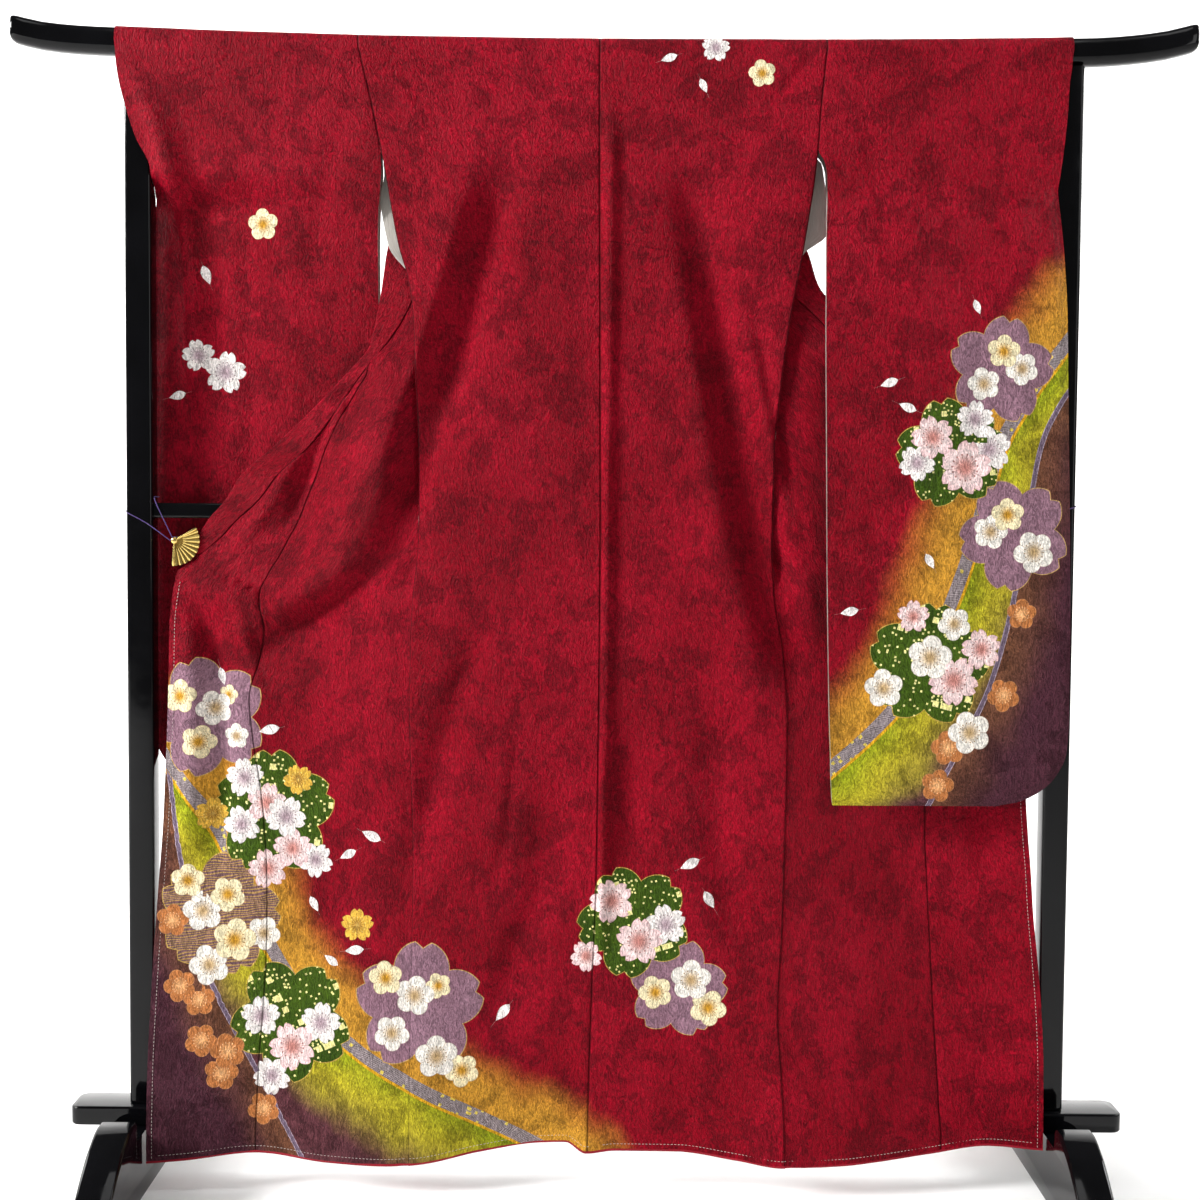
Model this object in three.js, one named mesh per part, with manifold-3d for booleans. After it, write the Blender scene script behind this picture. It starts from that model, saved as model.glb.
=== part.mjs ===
// Long-sleeved ceremonial kimono spread over a lacquered display stand, back view.
// Millimetres, +X to the viewer's right, +Z up, the viewer on the -Y side.
// Every cloth piece is a closed wall built from horizontal sections taken from the tables below.
import * as THREE from 'three';
import Module from 'manifold-3d';

const wasm = await Module();
wasm.setup();

// ---- named sizes -------------------------------------------------------------------------------
const SEAM_GAP = 0.35;              // room left between two pieces sewn edge to edge
const SILK_WALL = 1.4;              // outer silk, lining and seam allowance together
const COLLAR_WALL = 1.7;            // each leaf of the folded collar with its core

const ROD = { halfHigh: 20, halfDeep: 18, halfLong: 845 };
const ROD_CLEAR = 0.35;             // room between the rod and the cloth on it
const ROD_ANGLES = 16;              // corners of the rod's rounded section
const ROUNDNESS = 2.6;              // squareness of the rod's section
const POST = { x: 664, halfWide: 19, halfDeep: 17.5, bottom: 119.3, bevel: 5 };
const TOUCH = 0.3;                  // room between two parts of the stand
const BAR = { z: 987, halfHigh: 11, halfDeep: 11, bevel: 3 };
const BOARD = { z: 105, halfHigh: 14, halfDeep: 32, halfLong: 767, corner: 14 };
const FOOT = { inner: 652, outer: 704, seat: 90.7, seatHalf: 92, bevel: 5 };
const SHOULDER_FOLD = { x: 92, z: 1667, slope: 0.2271 };   // line on which each front is turned back

// Height of the rod's middle line: it sags a little under the cloth and turns up at both ends.
const ROD_LINE = [
  { x: -845, z: 1672 }, { x: -838, z: 1670 }, { x: -800, z: 1661.5 }, { x: -748, z: 1656.5 },
  { x: -700, z: 1654.5 }, { x: -664, z: 1653.2 }, { x: -500, z: 1648 }, { x: -260, z: 1643.5 },
  { x: 0, z: 1642 }, { x: 300, z: 1643.2 }, { x: 500, z: 1645.5 }, { x: 664, z: 1649 },
  { x: 700, z: 1650 }, { x: 748, z: 1653.5 }, { x: 800, z: 1660.5 }, { x: 838, z: 1670 }, { x: 845, z: 1672 },
];

// Heights at which the way the cloth hangs changes.
const LEVEL = {
  turned: 1517,         // above this a front lies wholly behind the back
  sewnSleeve: 1500,     // the sleeve is sewn to the body above this
  postGap: 1470,        // the upright passes between a sleeve's layers above this
  sewnSide: 1370,       // back and front are sewn together at the side below this
  flapShows: 1330,      // a front starts to stand out past the side seam
  bendOpens: 970,       // the bend of a front starts to open
  bendGone: 862,        // and here it lies flat
  hemWaves: 430,        // the waves of the hem begin
  hem: 60,              // the hem's own row
};

// Side profile of a foot, from the seat to the toe: distance from the middle, height.
const FOOT_TOP = [
  { out: 94, high: 119 }, { out: 108, high: 119 }, { out: 150, high: 105 }, { out: 190, high: 81 },
  { out: 225, high: 52 }, { out: 252, high: 20 }, { out: 258, high: 4 }, { out: 258, high: 0 },
];

// Centre back seam: its drift sideways.
const CENTRE = [
  { z: 1660, x: -6 }, { z: 1261, x: -3 }, { z: 900, x: 0 }, { z: 480, x: -2 }, { z: 309, x: -7 },
  { z: 60, x: -12 },
];

// Side edge of a back panel, which is also where its front is sewn on, measured from the middle.
const SIDE = {
  left: [
    { z: 1676, x: 350 }, { z: 1551, x: 326 }, { z: 1489, x: 313 }, { z: 1366, x: 290 },
    { z: 1315, x: 275 }, { z: 1259, x: 267 }, { z: 1051, x: 261 }, { z: 948, x: 261 },
    { z: 844, x: 269 }, { z: 717, x: 272 }, { z: 478, x: 266 }, { z: 265, x: 268 }, { z: 44, x: 269 },
  ],
  right: [
    { z: 1676, x: 317 }, { z: 1556, x: 308 }, { z: 1487, x: 303 }, { z: 1368, x: 286 },
    { z: 1263, x: 267 }, { z: 1139, x: 252 }, { z: 1051, x: 246 }, { z: 952, x: 246 },
    { z: 868, x: 251 }, { z: 785, x: 265 }, { z: 679, x: 270 }, { z: 398, x: 266 },
    { z: 269, x: 260 }, { z: 183, x: 266 }, { z: 46, x: 272 },
  ],
};

// Sections of the spread front: the front edge (or the collar's folded edge above the clip),
// the collar seam and the seam of the overlap panel.  "none" marks where a line does not exist.
const none = null;
const FRONT = {
  left: [
    { z: 1635, edge: 142, collar: 99, overlap: none }, { z: 1600, edge: 160, collar: 107, overlap: none },
    { z: 1560, edge: 178, collar: 118, overlap: none }, { z: 1517, edge: 197, collar: 136, overlap: none },
    { z: 1470, edge: 237, collar: 176, overlap: none }, { z: 1417, edge: 287, collar: 225, overlap: none },
    { z: 1366, edge: 307, collar: 247, overlap: none }, { z: 1312, edge: 314, collar: 262, overlap: none },
    { z: 1268, edge: 321, collar: 280, overlap: none }, { z: 1225, edge: 330, collar: 308, overlap: none },
    { z: 1189, edge: 360, collar: 338, overlap: 333 }, { z: 1161, edge: 386, collar: 360, overlap: 349 },
    { z: 1120, edge: 427, collar: 388, overlap: 374 }, { z: 1077, edge: 473, collar: 423, overlap: 395 },
    { z: 1037, edge: 518, collar: 466, overlap: 409 }, { z: 1004, edge: 538, collar: 491, overlap: 423 },
    { z: 974, edge: 564, collar: 524, overlap: 434 }, { z: 948, edge: 580, collar: 548, overlap: 448 },
    { z: 925, edge: 597, collar: 575, overlap: 460 }, { z: 896, edge: 610, collar: none, overlap: 478 },
    { z: 863, edge: 616, collar: none, overlap: 492 }, { z: 820, edge: 620, collar: none, overlap: 484 },
    { z: 767, edge: 621, collar: none, overlap: 492 }, { z: 717, edge: 622, collar: none, overlap: 505 },
    { z: 660, edge: 624, collar: none, overlap: 500 }, { z: 595, edge: 627, collar: none, overlap: 490 },
    { z: 530, edge: 630, collar: none, overlap: 483 }, { z: 478, edge: 634, collar: none, overlap: 480 },
    { z: 410, edge: 639, collar: none, overlap: 479 }, { z: 341, edge: 643, collar: none, overlap: 480 },
    { z: 265, edge: 646, collar: none, overlap: 484 }, { z: 194, edge: 648, collar: none, overlap: 489 },
    { z: 132, edge: 648.6, collar: none, overlap: 492 }, { z: 84, edge: 649, collar: none, overlap: 494 },
  ],
  right: [
    { z: 1635, edge: 142, collar: 99, overlap: none }, { z: 1600, edge: 160, collar: 107, overlap: none },
    { z: 1560, edge: 176, collar: 116, overlap: none }, { z: 1517, edge: 188, collar: 127, overlap: none },
    { z: 1470, edge: 216, collar: 155, overlap: none }, { z: 1417, edge: 254, collar: 192, overlap: none },
    { z: 1366, edge: 291, collar: 232, overlap: none }, { z: 1312, edge: 310, collar: 262, overlap: none },
    { z: 1268, edge: 357, collar: 308, overlap: none }, { z: 1225, edge: 400, collar: 346, overlap: 334 },
    { z: 1189, edge: 436, collar: 382, overlap: 350 }, { z: 1161, edge: 464, collar: 410, overlap: 361 },
    { z: 1120, edge: 505, collar: 452, overlap: 378 }, { z: 1077, edge: 549, collar: 497, overlap: 395 },
    { z: 1037, edge: 586, collar: 540, overlap: 409 }, { z: 1004, edge: 606, collar: 571, overlap: 423 },
    { z: 974, edge: 619, collar: 600, overlap: 436 }, { z: 948, edge: 624, collar: none, overlap: 449 },
    { z: 925, edge: 625, collar: none, overlap: 460 }, { z: 896, edge: 625, collar: none, overlap: 474 },
    { z: 863, edge: 624, collar: none, overlap: 486 }, { z: 820, edge: 622, collar: none, overlap: 488 },
    { z: 767, edge: 620, collar: none, overlap: 488 }, { z: 717, edge: 619, collar: none, overlap: 484 },
    { z: 660, edge: 618, collar: none, overlap: 478 }, { z: 595, edge: 618, collar: none, overlap: 472 },
    { z: 530, edge: 622, collar: none, overlap: 473 }, { z: 478, edge: 627, collar: none, overlap: 476 },
    { z: 410, edge: 632, collar: none, overlap: 480 }, { z: 341, edge: 639, collar: none, overlap: 484 },
    { z: 265, edge: 645, collar: none, overlap: 488 }, { z: 194, edge: 648, collar: none, overlap: 493 },
    { z: 132, edge: 648.6, collar: none, overlap: 497 }, { z: 84, edge: 649, collar: none, overlap: 501 },
  ],
};

// How far the unsewn side edge of a front stands out past the edge of the back.
const SIDE_SLIT = {
  left: [
    { z: 1517, out: 0 }, { z: 1470, out: 4.6 }, { z: 1417, out: 17 },
    { z: 1366, out: 16 }, { z: 1312, out: 0 },
  ],
  right: [
    { z: 1517, out: 0 }, { z: 1470, out: 15 }, { z: 1417, out: 27 },
    { z: 1366, out: 15 }, { z: 1312, out: 0 },
  ],
};

// A spread front: its seam allowance, its bend, and how it settles on the back.
const LAY = {
  allowance: 0.4,       // the front's edge stands this far inside the back's
  bendLow: 5,           // width of the bend at the waist
  bendHigh: 8,          // and at the shoulders
  sewn: 1.9,            // depth between back and front at the side seam
  flat: 1.2,            // and where the front lies alone beside the back
  forward: 22,          // how much nearer the stand the cloth hangs beside the body
};

// Depth of the back panels at rest and of the fronts behind them, by height.
const HANG = [
  { z: 1655, back: -19.7, front: 19.7 }, { z: 1635, back: -20, front: 19.8 },
  { z: 1560, back: -24, front: 12 }, { z: 1500, back: -28, front: 2 },
  { z: 1417, back: -32, front: -12 }, { z: 1330, back: -35, front: -25 },
  { z: 1250, back: -37, front: -31 }, { z: 1100, back: -40, front: -34.6 },
  { z: 900, back: -43, front: -38 }, { z: 600, back: -47, front: -42 },
  { z: 300, back: -52, front: -47 }, { z: 60, back: -56, front: -51 },
];

// Waves of the hem: how far the hem line lies from the middle plane, and its height.
const HEM = [
  { x: -665, y: -58, z: 46 }, { x: -600, y: -56, z: 50 }, { x: -493, y: -42, z: 58 },
  { x: -385, y: -64, z: 52 }, { x: -298, y: -72, z: 50 }, { x: -254, y: -68, z: 52 },
  { x: -167, y: -46, z: 64 }, { x: -81, y: -35, z: 74 }, { x: -44, y: -35, z: 75 },
  { x: -14, y: -46, z: 62 }, { x: 28, y: -44, z: 66 }, { x: 115, y: -45, z: 66 },
  { x: 202, y: -58, z: 58 }, { x: 270, y: -72, z: 52 }, { x: 354, y: -70, z: 55 },
  { x: 397, y: -64, z: 58 }, { x: 484, y: -48, z: 66 }, { x: 570, y: -36, z: 74 },
  { x: 665, y: -44, z: 70 },
];

// Soft folds of the body: a line down the cloth, how deep it sinks (+) or rises (-), and its width.
const FOLDS = [
  { deep: 11, wide: 34, line: [[1520, -140], [1372, -172], [1148, -229], [922, -307], [739, -500]] },
  { deep: -5, wide: 36, line: [[1500, -205], [1260, -262], [1060, -330], [900, -400], [760, -560]] },
  { deep: 11, wide: 34, line: [[1520, 120], [1366, 144], [1140, 183], [914, 233], [690, 284]] },
  { deep: -5, wide: 30, line: [[1400, 95], [1200, 130], [1000, 160], [800, 205], [640, 235]] },
  { deep: 6, wide: 26, line: [[860, -165], [703, -209], [590, -239], [430, -262]] },
  { deep: 6, wide: 30, line: [[640, -74], [464, -77], [351, -117], [200, -140]] },
  { deep: 5, wide: 26, line: [[720, 40], [577, 43], [420, 52]] },
  { deep: 6, wide: 28, line: [[760, 158], [577, 172], [457, 184], [300, 235]] },
  { deep: -4, wide: 16, line: [[1600, 10], [1100, 9], [700, 8], [300, 4]] },
  { deep: 7, wide: 20, line: [[905, -596], [800, -563], [640, -548], [430, -556]] },
  { deep: -5, wide: 20, line: [[900, -606], [790, -590], [640, -588], [420, -600]] },
  { deep: 7, wide: 22, line: [[960, 600], [850, 560], [660, 550], [430, 560]] },
];

// Sleeves, top to bottom: inner edge, outer edge of each layer, depth of each layer near both edges.
const SLEEVE = {
  left: [
    { z: 1635, inner: 346.5, front: 693, rear: 690, frontIn: -20, frontOut: -20, rearIn: 19.8, rearOut: 20 },
    { z: 1600, inner: 336, front: 689, rear: 687, frontIn: -22, frontOut: -20.5, rearIn: 17, rearOut: 20.5 },
    { z: 1560, inner: 328, front: 679, rear: 678, frontIn: -24, frontOut: -20.8, rearIn: 12, rearOut: 21 },
    { z: 1517, inner: 319, front: 665, rear: 665, frontIn: -27, frontOut: -20.8, rearIn: 4.8, rearOut: 21.5 },
    { z: 1470, inner: 315, front: 644, rear: 644, frontIn: -28, frontOut: -20.5, rearIn: -1, rearOut: 22 },
    { z: 1447, inner: 317, front: 643.6, rear: 643.6, frontIn: -25, frontOut: -14, rearIn: 3, rearOut: 14 },
    { z: 1410, inner: 320, front: 643.6, rear: 643.6, frontIn: -18, frontOut: -4, rearIn: 11, rearOut: 16 },
    { z: 1350, inner: 322, front: 644, rear: 644, frontIn: -8, frontOut: 13, rearIn: 19, rearOut: 25 },
    { z: 1270, inner: 322, front: 648, rear: 648, frontIn: 4, frontOut: 22, rearIn: 24, rearOut: 32 },
    { z: 1180, inner: 322, front: 653, rear: 653, frontIn: 14, frontOut: 23, rearIn: 27, rearOut: 33 },
    { z: 1060, inner: 323, front: 655, rear: 655, frontIn: 20, frontOut: 24, rearIn: 31, rearOut: 34 },
    { z: 930, inner: 324, front: 657, rear: 657, frontIn: 21, frontOut: 24, rearIn: 33, rearOut: 34 },
    { z: 800, inner: 326, front: 658, rear: 658, frontIn: 20, frontOut: 23, rearIn: 33, rearOut: 33 },
    { z: 700, inner: 328, front: 658, rear: 658, frontIn: 21, frontOut: 23, rearIn: 32, rearOut: 32 },
    { z: 655, inner: 329, front: 655, rear: 655, frontIn: 22, frontOut: 23, rearIn: 31, rearOut: 31 },
    { z: 622, inner: 330, front: 640, rear: 640, frontIn: 22.5, frontOut: 23.5, rearIn: 30, rearOut: 30 },
    { z: 600, inner: 331, front: 616, rear: 616, frontIn: 23, frontOut: 24, rearIn: 29.5, rearOut: 29.5 },
    { z: 588, inner: 332, front: 584, rear: 584, frontIn: 24.5, frontOut: 24.8, rearIn: 28, rearOut: 28 },
    { z: 583, inner: 333, front: 560, rear: 560, frontIn: 25.4, frontOut: 25.4, rearIn: 27.3, rearOut: 27.3 },
  ],
  right: [
    { z: 1635, inner: 313.9, front: 664, rear: 660, frontIn: -20, frontOut: -20, rearIn: 19.8, rearOut: 20 },
    { z: 1600, inner: 311, front: 660, rear: 656, frontIn: -22, frontOut: -21.5, rearIn: 17, rearOut: 20.5 },
    { z: 1560, inner: 309, front: 658, rear: 640, frontIn: -24, frontOut: -22.5, rearIn: 12, rearOut: 17 },
    { z: 1517, inner: 306, front: 654, rear: 640, frontIn: -27, frontOut: -24.5, rearIn: 4.8, rearOut: 7 },
    { z: 1470, inner: 317, front: 648, rear: 640, frontIn: -31, frontOut: -27, rearIn: -8, rearOut: -10 },
    { z: 1447, inner: 317, front: 645, rear: 645, frontIn: -36, frontOut: -30, rearIn: -18, rearOut: -22 },
    { z: 1410, inner: 316, front: 648, rear: 648, frontIn: -44, frontOut: -38, rearIn: -32, rearOut: -28 },
    { z: 1350, inner: 315, front: 653, rear: 653, frontIn: -54, frontOut: -46, rearIn: -44, rearOut: -34 },
    { z: 1270, inner: 315, front: 657, rear: 657, frontIn: -62, frontOut: -52, rearIn: -51, rearOut: -41 },
    { z: 1180, inner: 316, front: 659, rear: 659, frontIn: -66, frontOut: -56, rearIn: -55, rearOut: -44 },
    { z: 1060, inner: 318, front: 662, rear: 662, frontIn: -70, frontOut: -60, rearIn: -59, rearOut: -48 },
    { z: 930, inner: 320, front: 665, rear: 665, frontIn: -73, frontOut: -64, rearIn: -62, rearOut: -52 },
    { z: 800, inner: 323, front: 667, rear: 667, frontIn: -75, frontOut: -67, rearIn: -64, rearOut: -56 },
    { z: 700, inner: 326, front: 667, rear: 667, frontIn: -76, frontOut: -68, rearIn: -66, rearOut: -59 },
    { z: 652, inner: 328, front: 664, rear: 664, frontIn: -76, frontOut: -69, rearIn: -67, rearOut: -61 },
    { z: 618, inner: 329, front: 648, rear: 648, frontIn: -76, frontOut: -70, rearIn: -68, rearOut: -63 },
    { z: 596, inner: 330, front: 624, rear: 624, frontIn: -75.5, frontOut: -71, rearIn: -69, rearOut: -65 },
    { z: 582, inner: 331, front: 592, rear: 592, frontIn: -74, frontOut: -71.5, rearIn: -70, rearOut: -68 },
    { z: 577, inner: 332, front: 566, rear: 566, frontIn: -73, frontOut: -71.5, rearIn: -71, rearOut: -69.5 },
  ],
};

// ---- small helpers -----------------------------------------------------------------------------
const mix = (a, b, t) => a + (b - a) * t;
const clamp01 = (t) => Math.min(1, Math.max(0, t));
const smooth = (t) => {
  const k = clamp01(t);
  return k * k * (3 - 2 * k);
};
const V = (x, y, z) => new THREE.Vector3(x, y, z);

// Reads a column of a table at any height or place, with soft bends between its rows.
function read(table, key, at, by = 'z') {
  const rows = table.filter((row) => row[key] !== none);
  const up = rows[0][by] < rows[rows.length - 1][by];
  const list = up ? rows : [...rows].reverse();
  const last = list.length - 1;
  if (at <= list[0][by]) return list[0][key];
  if (at >= list[last][by]) return list[last][key];
  let i = 0;
  while (list[i + 1][by] < at) i += 1;
  const slope = (k) => {
    if (k <= 0 || k >= last) return 0;
    const before = (list[k][key] - list[k - 1][key]) / (list[k][by] - list[k - 1][by]);
    const after = (list[k + 1][key] - list[k][key]) / (list[k + 1][by] - list[k][by]);
    return before * after <= 0 ? 0 : (2 * before * after) / (before + after);
  };
  const h = list[i + 1][by] - list[i][by];
  const t = (at - list[i][by]) / h;
  const a = list[i][key];
  const b = list[i + 1][key];
  const t2 = t * t;
  const t3 = t2 * t;
  return (2 * t3 - 3 * t2 + 1) * a + (t3 - 2 * t2 + t) * h * slope(i)
    + (3 * t2 - 2 * t3) * b + (t3 - t2) * h * slope(i + 1);
}

// A closed wall of even thickness on a grid of points: both faces and the rim round all four edges.
function wall(grid, thick) {
  const rows = grid.length;
  const cols = grid[0].length;
  const at = (r, c) => grid[Math.min(rows - 1, Math.max(0, r))][Math.min(cols - 1, Math.max(0, c))];
  const front = [];
  const rear = [];
  for (let r = 0; r < rows; r += 1) {
    for (let c = 0; c < cols; c += 1) {
      const along = at(r + 1, c).clone().sub(at(r - 1, c));
      const before = at(r, c).clone().sub(at(r, c - 1));
      const after = at(r, c + 1).clone().sub(at(r, c));
      const across = V(0, 0, 0);
      if (before.lengthSq() > 0) across.add(before.normalize());
      if (after.lengthSq() > 0) across.add(after.normalize());
      const n = across.cross(along).normalize().multiplyScalar(thick / 2);
      front.push(grid[r][c].clone().add(n));
      rear.push(grid[r][c].clone().sub(n));
    }
  }
  const points = [...front, ...rear];
  const half = rows * cols;
  const index = [];
  const id = (r, c) => r * cols + c;
  for (let r = 0; r < rows - 1; r += 1) {
    for (let c = 0; c < cols - 1; c += 1) {
      const [p, q, s, t] = [id(r, c), id(r, c + 1), id(r + 1, c + 1), id(r + 1, c)];
      const even = grid[r][c].distanceTo(grid[r + 1][c + 1]) <= grid[r][c + 1].distanceTo(grid[r + 1][c]);
      const pair = even ? [[p, q, s], [p, s, t]] : [[p, q, t], [q, s, t]];
      for (const [i, j, k] of pair) index.push(i, j, k, half + i, half + k, half + j);
    }
  }
  const rim = [];
  for (let c = 0; c < cols - 1; c += 1) rim.push([id(0, c), id(0, c + 1)]);
  for (let r = 0; r < rows - 1; r += 1) rim.push([id(r, cols - 1), id(r + 1, cols - 1)]);
  for (let c = cols - 1; c > 0; c -= 1) rim.push([id(rows - 1, c), id(rows - 1, c - 1)]);
  for (let r = rows - 1; r > 0; r -= 1) rim.push([id(r, 0), id(r - 1, 0)]);
  for (const [i, j] of rim) index.push(j, i, half + i, j, half + i, half + j);
  return solid(points, index);
}

// Geometry from shared corners, with its faces turned outwards.
function solid(points, index) {
  let volume = 0;
  for (let i = 0; i < index.length; i += 3) {
    const [a, b, c] = [points[index[i]], points[index[i + 1]], points[index[i + 2]]];
    volume += a.dot(b.clone().cross(c));
  }
  const order = volume > 0 ? index : index.flatMap((v, i) => (i % 3 ? [] : [v, index[i + 2], index[i + 1]]));
  const places = points.flatMap((p) => [p.x, p.y, p.z]);
  const geometry = new THREE.BufferGeometry();
  geometry.setAttribute('position', new THREE.Float32BufferAttribute(places, 3));
  geometry.setIndex(order);
  geometry.computeVertexNormals();
  return geometry;
}

// A prism: an outline in its own plane, swept through stations that place and shrink it.
function sweep(outline, stations) {
  const n = outline.length;
  const points = stations.flatMap((place) => outline.map((p) => place(p)));
  const index = [];
  for (let s = 0; s < stations.length - 1; s += 1) {
    for (let i = 0; i < n; i += 1) {
      const j = (i + 1) % n;
      const [a, b, c, d] = [s * n + i, s * n + j, (s + 1) * n + j, (s + 1) * n + i];
      index.push(a, b, c, a, c, d);
    }
  }
  const flat = outline.map((p) => new THREE.Vector2(p[0], p[1]));
  const caps = THREE.ShapeUtils.triangulateShape(flat, []);
  const turn = ([a, b, c]) => THREE.ShapeUtils.area([flat[a], flat[b], flat[c]]) > 0;
  const wound = THREE.ShapeUtils.area(flat) > 0;
  const end = (stations.length - 1) * n;
  for (const cap of caps) {
    const [a, b, c] = turn(cap) === wound ? cap : [cap[0], cap[2], cap[1]];
    index.push(a, c, b, end + a, end + b, end + c);
  }
  return solid(points, index);
}

// Rectangle with cut corners, anticlockwise.
const cutRectangle = (w, h, b) => [
  [-w + b, -h], [w - b, -h], [w, -h + b], [w, h - b], [w - b, h], [-w + b, h], [-w, h - b], [-w, -h + b],
];

// ---- body --------------------------------------------------------------------------------------
const sides = { left: -1, right: 1 };
const foldLine = (z) => SHOULDER_FOLD.x + (SHOULDER_FOLD.z - z) * SHOULDER_FOLD.slope;

const rodHeight = (x) => read(ROD_LINE, 'z', x, 'x');

// Point of the rod's section, grown by a margin; turn 0 faces the viewer and 180 the far side.
function rodPoint(degrees, grow) {
  const a = (degrees * Math.PI) / 180;
  const power = (v) => Math.sign(v) * Math.abs(v) ** (2 / ROUNDNESS);
  return { y: -(ROD.halfDeep + grow) * power(Math.cos(a)), up: (ROD.halfHigh + grow) * power(Math.sin(a)) };
}

// Heights round the rod at which the cloth's side edges are read from their tables.
const edgeHeight = (up) => Math.min(1676, 1655 + up);

// How far the cloth's middle surface lies from the middle plane at one place of the spread back.
function bodyDepth(x, z) {
  const out = Math.abs(x);
  const beside = smooth((out - 268) / 190) * smooth((LEVEL.sewnSleeve - z) / 250);
  const rest = read(HANG, 'back', z) + LAY.forward * beside;
  const low = smooth((LEVEL.hemWaves - z) / (LEVEL.hemWaves - LEVEL.hem));
  let y = mix(rest, read(HEM, 'y', x, 'x'), low);
  for (const fold of FOLDS) {
    const rows = fold.line.map(([height, across]) => ({ z: height, x: across }));
    const top = rows[0].z;
    const end = rows[rows.length - 1].z;
    const away = (x - read(rows, 'x', z)) / fold.wide;
    const fade = smooth((top - z) / 120) * smooth((z - end) / 110);
    y += fold.deep * Math.exp(-away * away) * fade;
  }
  return y;
}

// How one front lies at a height: in from the side seam, round a bend, then outwards again.
// "turn" is the angle of that bend; it closes to nothing below the waist, where the front lies flat.
function frontLayout(side, z) {
  const seam = read(SIDE[side], 'x', z) + read(SIDE_SLIT[side], 'out', z) - LAY.allowance;
  const gap = mix(LAY.bendLow, LAY.bendHigh, smooth((z - 900) / 300));
  const lift = read(HANG, 'front', z) - read(HANG, 'back', z);
  const start = mix(lift, LAY.sewn, smooth((LEVEL.sewnSide - z) / 60));
  const turn = Math.PI * smooth((z - LEVEL.bendGone) / (LEVEL.bendOpens - LEVEL.bendGone));
  const first = Math.max(8, seam - foldLine(z) - gap / 2);
  const bend = (Math.PI * gap) / 2;
  const head = (s) => ({
    x: seam + s * Math.cos(turn),
    off: mix(start, lift, smooth(s / 20)) + s * Math.sin(turn),
  });
  const corner = head(first);
  const radius = turn > 0.01 ? bend / turn : 0;
  const arc = (t) => ({
    x: corner.x + (radius ? radius * (Math.sin(turn) - Math.sin(turn * (1 - t))) : bend * t),
    off: corner.off + (radius ? radius * (Math.cos(turn * (1 - t)) - Math.cos(turn)) : 0),
  });
  const after = arc(1);
  const tail = (x) => {
    const outside = smooth((x - seam) / 60) * smooth((LEVEL.flapShows - z) / 160);
    return mix(after.off, LAY.flat, outside);
  };
  const point = (s) => {
    if (s <= first) return head(s);
    if (s <= first + bend) return arc((s - first) / bend);
    const x = after.x + s - first - bend;
    return { x, off: tail(x) };
  };
  return { seam, lift, first, bend, after, tail, point };
}

// Each front behind the back: from the collar or overlap seam to the side seam.
function frontSection(side, z, columns) {
  const s = sides[side];
  const plan = frontLayout(side, z);
  const row = FRONT[side].find((r) => r.z === z);
  const end = row ? row.overlap ?? row.collar : read(FRONT[side], 'overlap', z);
  const behind = z >= LEVEL.sewnSleeve;
  const whole = behind ? plan.seam - end : plan.first + plan.bend + end - plan.after.x;
  const outer = Math.max(whole - plan.first - plan.bend, 12);
  const spread = smooth((LEVEL.bendGone - z) / 90);
  const points = [];
  for (let c = 0; c < columns; c += 1) {
    let back = 0;
    if (c <= 4) back = (c / 4) * outer;
    else if (c <= 7) back = outer + ((c - 4) / 3) * plan.bend;
    else back = mix(outer + plan.bend, whole, (c - 7) / (columns - 8));
    const even = whole * (c / (columns - 1));
    const { x, off } = plan.point(Math.max(0, whole - mix(back, even, spread)));
    points.push(V(s * x, bodyDepth(s * x, z) + off, z));
  }
  return points;
}

const FRONT_HEIGHTS = FRONT.left.map((row) => row.z);
const BACK_HEIGHTS = [
  84, 132, 194, 265, 341, 410, 478, 530, 595, 660, 717, 767, 820, 863, 925, 1004, 1077, 1161, 1225, 1312,
  1366, 1417, 1470, 1517, 1560, 1600, 1635,
];
const BODY_COLUMNS = 11;

function bodyPanel(side) {
  const s = sides[side];
  const grid = [];
  const backRow = (z, put) => {
    const from = s * (read(CENTRE, 'x', z) * s + SEAM_GAP / 2);
    const to = s * read(SIDE[side], 'x', z);
    const row = [];
    for (let c = 0; c < BODY_COLUMNS; c += 1) row.push(put(mix(from, to, c / (BODY_COLUMNS - 1))));
    grid.push(row);
  };
  backRow(LEVEL.hem, (x) => {
    const z = read(HEM, 'z', x, 'x');
    return V(x, bodyDepth(x, z), z);
  });
  for (const z of BACK_HEIGHTS) backRow(z, (x) => V(x, bodyDepth(x, z), z));
  for (let k = 0; k <= ROD_ANGLES / 2; k += 1) {
    const p = rodPoint((k * 360) / ROD_ANGLES, SILK_WALL / 2 + ROD_CLEAR);
    backRow(edgeHeight(p.up), (x) => V(x, p.y, rodHeight(x) + p.up));
  }
  for (const z of FRONT_HEIGHTS) grid.push(frontSection(side, z, BODY_COLUMNS));
  const last = frontSection(side, LEVEL.hem, BODY_COLUMNS);
  grid.push(last.map((p) => V(p.x, p.y, read(HEM, 'z', p.x, 'x'))));
  return wall(grid, SILK_WALL);
}

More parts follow.
